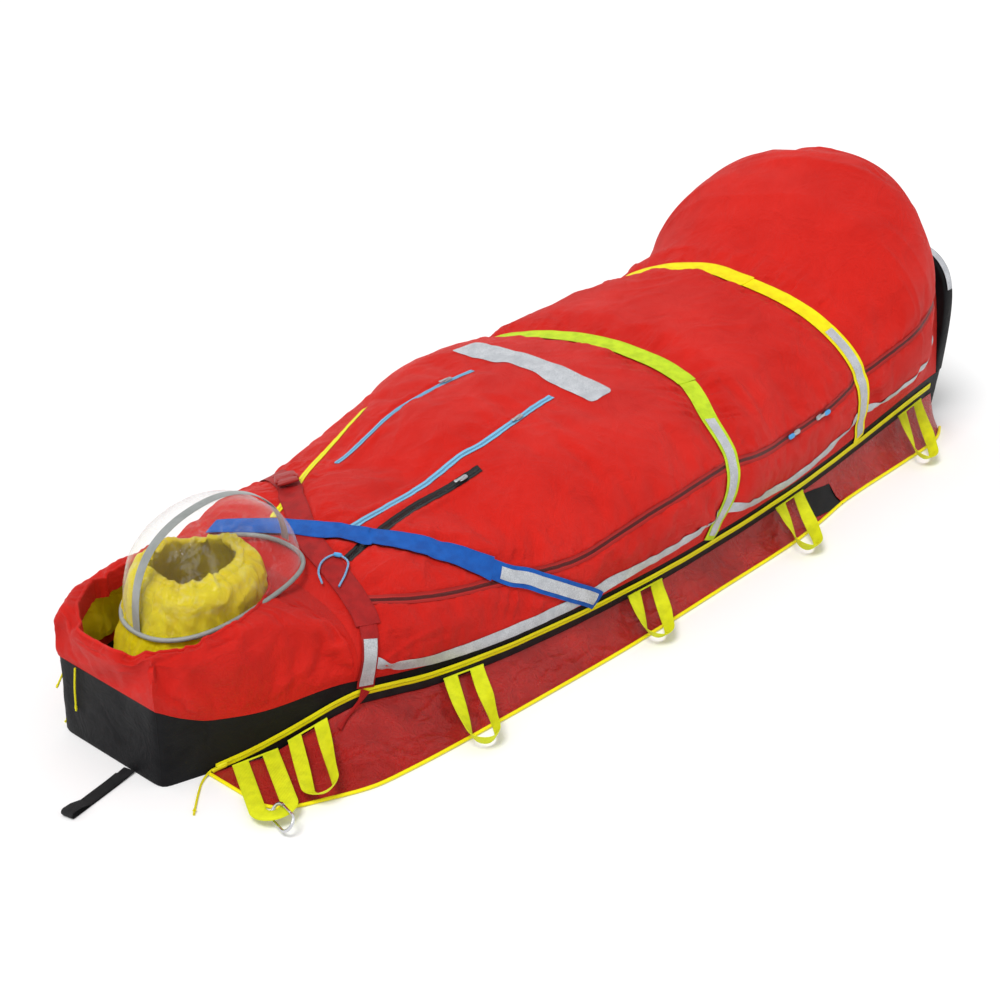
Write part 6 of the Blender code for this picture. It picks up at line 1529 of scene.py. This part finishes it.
cordRadius = 0.002
cordRows = (  # name, node, length, finish, lay, far end
    ("nearPull", "near_zip_pull", 0.1377, "yellowCord", "loose", "knot", (
        (-1.0023, -0.168, 0.0093), (-1.011, -0.1656, 0.0075), (-1.0198, -0.1663, 0.0049),
        (-1.0283, -0.169, 0.0034), (-1.0366, -0.1733, 0.0025), (-1.0443, -0.1781, 0.002),
        (-1.0516, -0.1837, 0.002), (-1.0585, -0.1898, 0.0022), (-1.0655, -0.1958, 0.0023),
        (-1.0723, -0.2019, 0.0023), (-1.0791, -0.2081, 0.0023), (-1.0858, -0.2143, 0.0023),
        (-1.0925, -0.2206, 0.0023), (-1.0992, -0.2269, 0.0023), (-1.1058, -0.2332, 0.0023),
        (-1.1124, -0.2396, 0.0023))),
    ("farPull", "far_zip_pull", 0.0864, "yellowCord", "loose", "knot", (
        (-1.0023, 0.168, 0.0093), (-1.0077, 0.1662, 0.0083), (-1.0131, 0.1646, 0.0068),
        (-1.0184, 0.1632, 0.0051), (-1.0238, 0.1619, 0.0038), (-1.0294, 0.1608, 0.0029),
        (-1.035, 0.1597, 0.0023), (-1.0407, 0.1588, 0.0021), (-1.0464, 0.158, 0.0022),
        (-1.0521, 0.1573, 0.0023), (-1.0578, 0.1566, 0.0023), (-1.0636, 0.156, 0.0023),
        (-1.0693, 0.1554, 0.0023), (-1.075, 0.1548, 0.0023), (-1.0807, 0.1542, 0.0023),
        (-1.0865, 0.1536, 0.0023))),
    ("neckCord", "neck_cord", 0.188, "blueCord", "loose", "object", (
        (-0.7229, -0.1521, 0.2592), (-0.7195, -0.1463, 0.2606), (-0.7163, -0.1402, 0.262),
        (-0.713, -0.1342, 0.2634), (-0.7093, -0.1286, 0.2648), (-0.7049, -0.1238, 0.2663),
        (-0.6998, -0.1194, 0.2677), (-0.694, -0.1153, 0.2692), (-0.6879, -0.1119, 0.2707),
        (-0.6816, -0.1098, 0.272), (-0.6751, -0.1091, 0.2733), (-0.6676, -0.1095, 0.2745),
        (-0.6605, -0.1112, 0.2756), (-0.655, -0.1143, 0.2761), (-0.6518, -0.1194, 0.276),
        (-0.6501, -0.1265, 0.2753), (-0.6498, -0.1343, 0.2742), (-0.6509, -0.1413, 0.273),
        (-0.6535, -0.1468, 0.2716), (-0.6579, -0.1515, 0.27), (-0.6636, -0.1557, 0.2682),
        (-0.6696, -0.1595, 0.2663), (-0.6754, -0.1632, 0.2645), (-0.6811, -0.1664, 0.2627),
        (-0.6871, -0.1693, 0.2608), (-0.6932, -0.1719, 0.2589), (-0.6993, -0.1745, 0.2571),
        (-0.7054, -0.1772, 0.2552))),
    ("headDrawcord", "head_drawcord", 0.0926, "yellowCord", "hanging", "knot", (
        (-1.1026, 0.081, 0.154), (-1.1036, 0.083, 0.135), (-1.1041, 0.086, 0.110),
        (-1.1036, 0.088, 0.085), (-1.1031, 0.090, 0.062))),
    ("sideDrawcord", "side_drawcord", 0.0716, "yellowCord", "hanging", "knot", (
        (-1.0736, 0.14883, 0.136), (-1.0746, 0.15083, 0.122), (-1.0766, 0.15483, 0.106),
        (-1.0816, 0.16083, 0.088), (-1.0876, 0.16683, 0.070))),
)


def knotPart(centre, run):
    # An overhand knot: the trefoil's line round the cord's end
    turn = np.linspace(0, 2 * math.pi, 60, endpoint=False)
    run = unit(run)
    side = unit(np.cross(run, [0, 0, 1.0])) if abs(run[2]) < 0.9 else np.array([0, 1.0, 0])
    line = placed((np.sin(turn) + 2 * np.sin(2 * turn)) * 0.00095, (np.cos(turn) - 2 * np.cos(2 * turn)) * 0.00095,
                  -np.sin(3 * turn) * 0.0012)
    return tubePart(centre + line @ np.stack([side, run, np.cross(side, run)]), 0.0010, 8, closed=True)


def makeCords():
    for name, node, length, finish, lay, end, path in cordRows:
        route = smoothRoute(path, 64)
        piece = newPiece(name, [tubePart(route, cordRadius, 12)], finish, node)
        if end == "knot":
            centre = route[-6].copy()
            centre[2] = max(centre[2], 0.0042)
            own = newPiece(name + "Knot", [knotPart(centre, route[-1] - route[-6])], finish)
        else:  # a barrel lock at the bend
            run = unit(route[33] - route[31])
            out = unit(np.cross(run, unit(route[0] - route[-1])))
            out = out if out[2] > 0 else -out
            parts = placedBlocks(route[32], np.stack([run, np.cross(out, run), out]), (
                ((0, 0, 0), (0.016, 0.0105, 0.0085), 3.4, 14, 30), ((0, 0.0062, 0), (0.009, 0.005, 0.006), 2.6)))
            own = newPiece(name + "Lock", parts, "bluePlastic")
        print(name, "length", round(float(lengthsOf(route)[-1]), 4))


makeCords()
print("cords made")


# Floor and light

stage = {"floor": 0.90, "half": 14.0, "glow": 0.05, "sky": 0.67, "sun": 1.8,
         "sunSoft": math.radians(24), "sunFrom": (-0.50, -0.12, 1.0)}


def seenDirectly(tree):
    # 1 for rays from the camera, off a gloss or through clear film
    rays = addNode(tree, "LightPath", {}).outputs
    camera, glossy, through = (Flow(tree, rays["Is %s Ray" % kind])
                               for kind in ("Camera", "Glossy", "Transmission"))
    return camera.maths("MAXIMUM", glossy.maths("MAXIMUM", through))


def makeStage():
    mesh = bpy.data.meshes.new("floor")
    half, pale = stage["half"], stage["floor"]
    mesh.from_pydata([(-half, -half, 0), (half, -half, 0), (half, half, 0), (-half, half, 0)], [], [(0, 1, 2, 3)])
    floor = bpy.data.objects.new("floor", mesh)
    scene.collection.objects.link(floor)
    material, place, _ = startMaterial("paleFloor")
    mesh.materials.append(endMaterial(
        material, None, None, Base_Color=place.noise(2.0, 2.0).between((pale,) * 3, (pale + 0.01,) * 3),
        Roughness=0.9, Specular_IOR_Level=0.05, Emission_Color=(1, 1, 1, 1),
        Emission_Strength=seenDirectly(place.tree) * stage["glow"]))
    world = bpy.data.worlds.new("studio")
    world.use_nodes = True
    sky = world.node_tree
    sky.nodes.clear()
    plain, bright = (addNode(sky, "Background", {"Color": (1, 1, 1, 1), "Strength": strength}).outputs[0]
                     for strength in (stage["sky"], 1.0))
    mixed = addNode(sky, "MixShader", {0: seenDirectly(sky), 1: plain, 2: bright})
    addNode(sky, "OutputWorld", {"Surface": mixed.outputs[0]})
    scene.world = world
    light = bpy.data.lights.new("softSun", "SUN")
    light.energy, light.angle = stage["sun"], stage["sunSoft"]
    sun = bpy.data.objects.new("softSun", light)
    sun.rotation_euler = Vector(stage["sunFrom"]).to_track_quat("Z", "Y").to_euler()
    scene.collection.objects.link(sun)
    scene.view_settings.view_transform = "Standard"


makeStage()
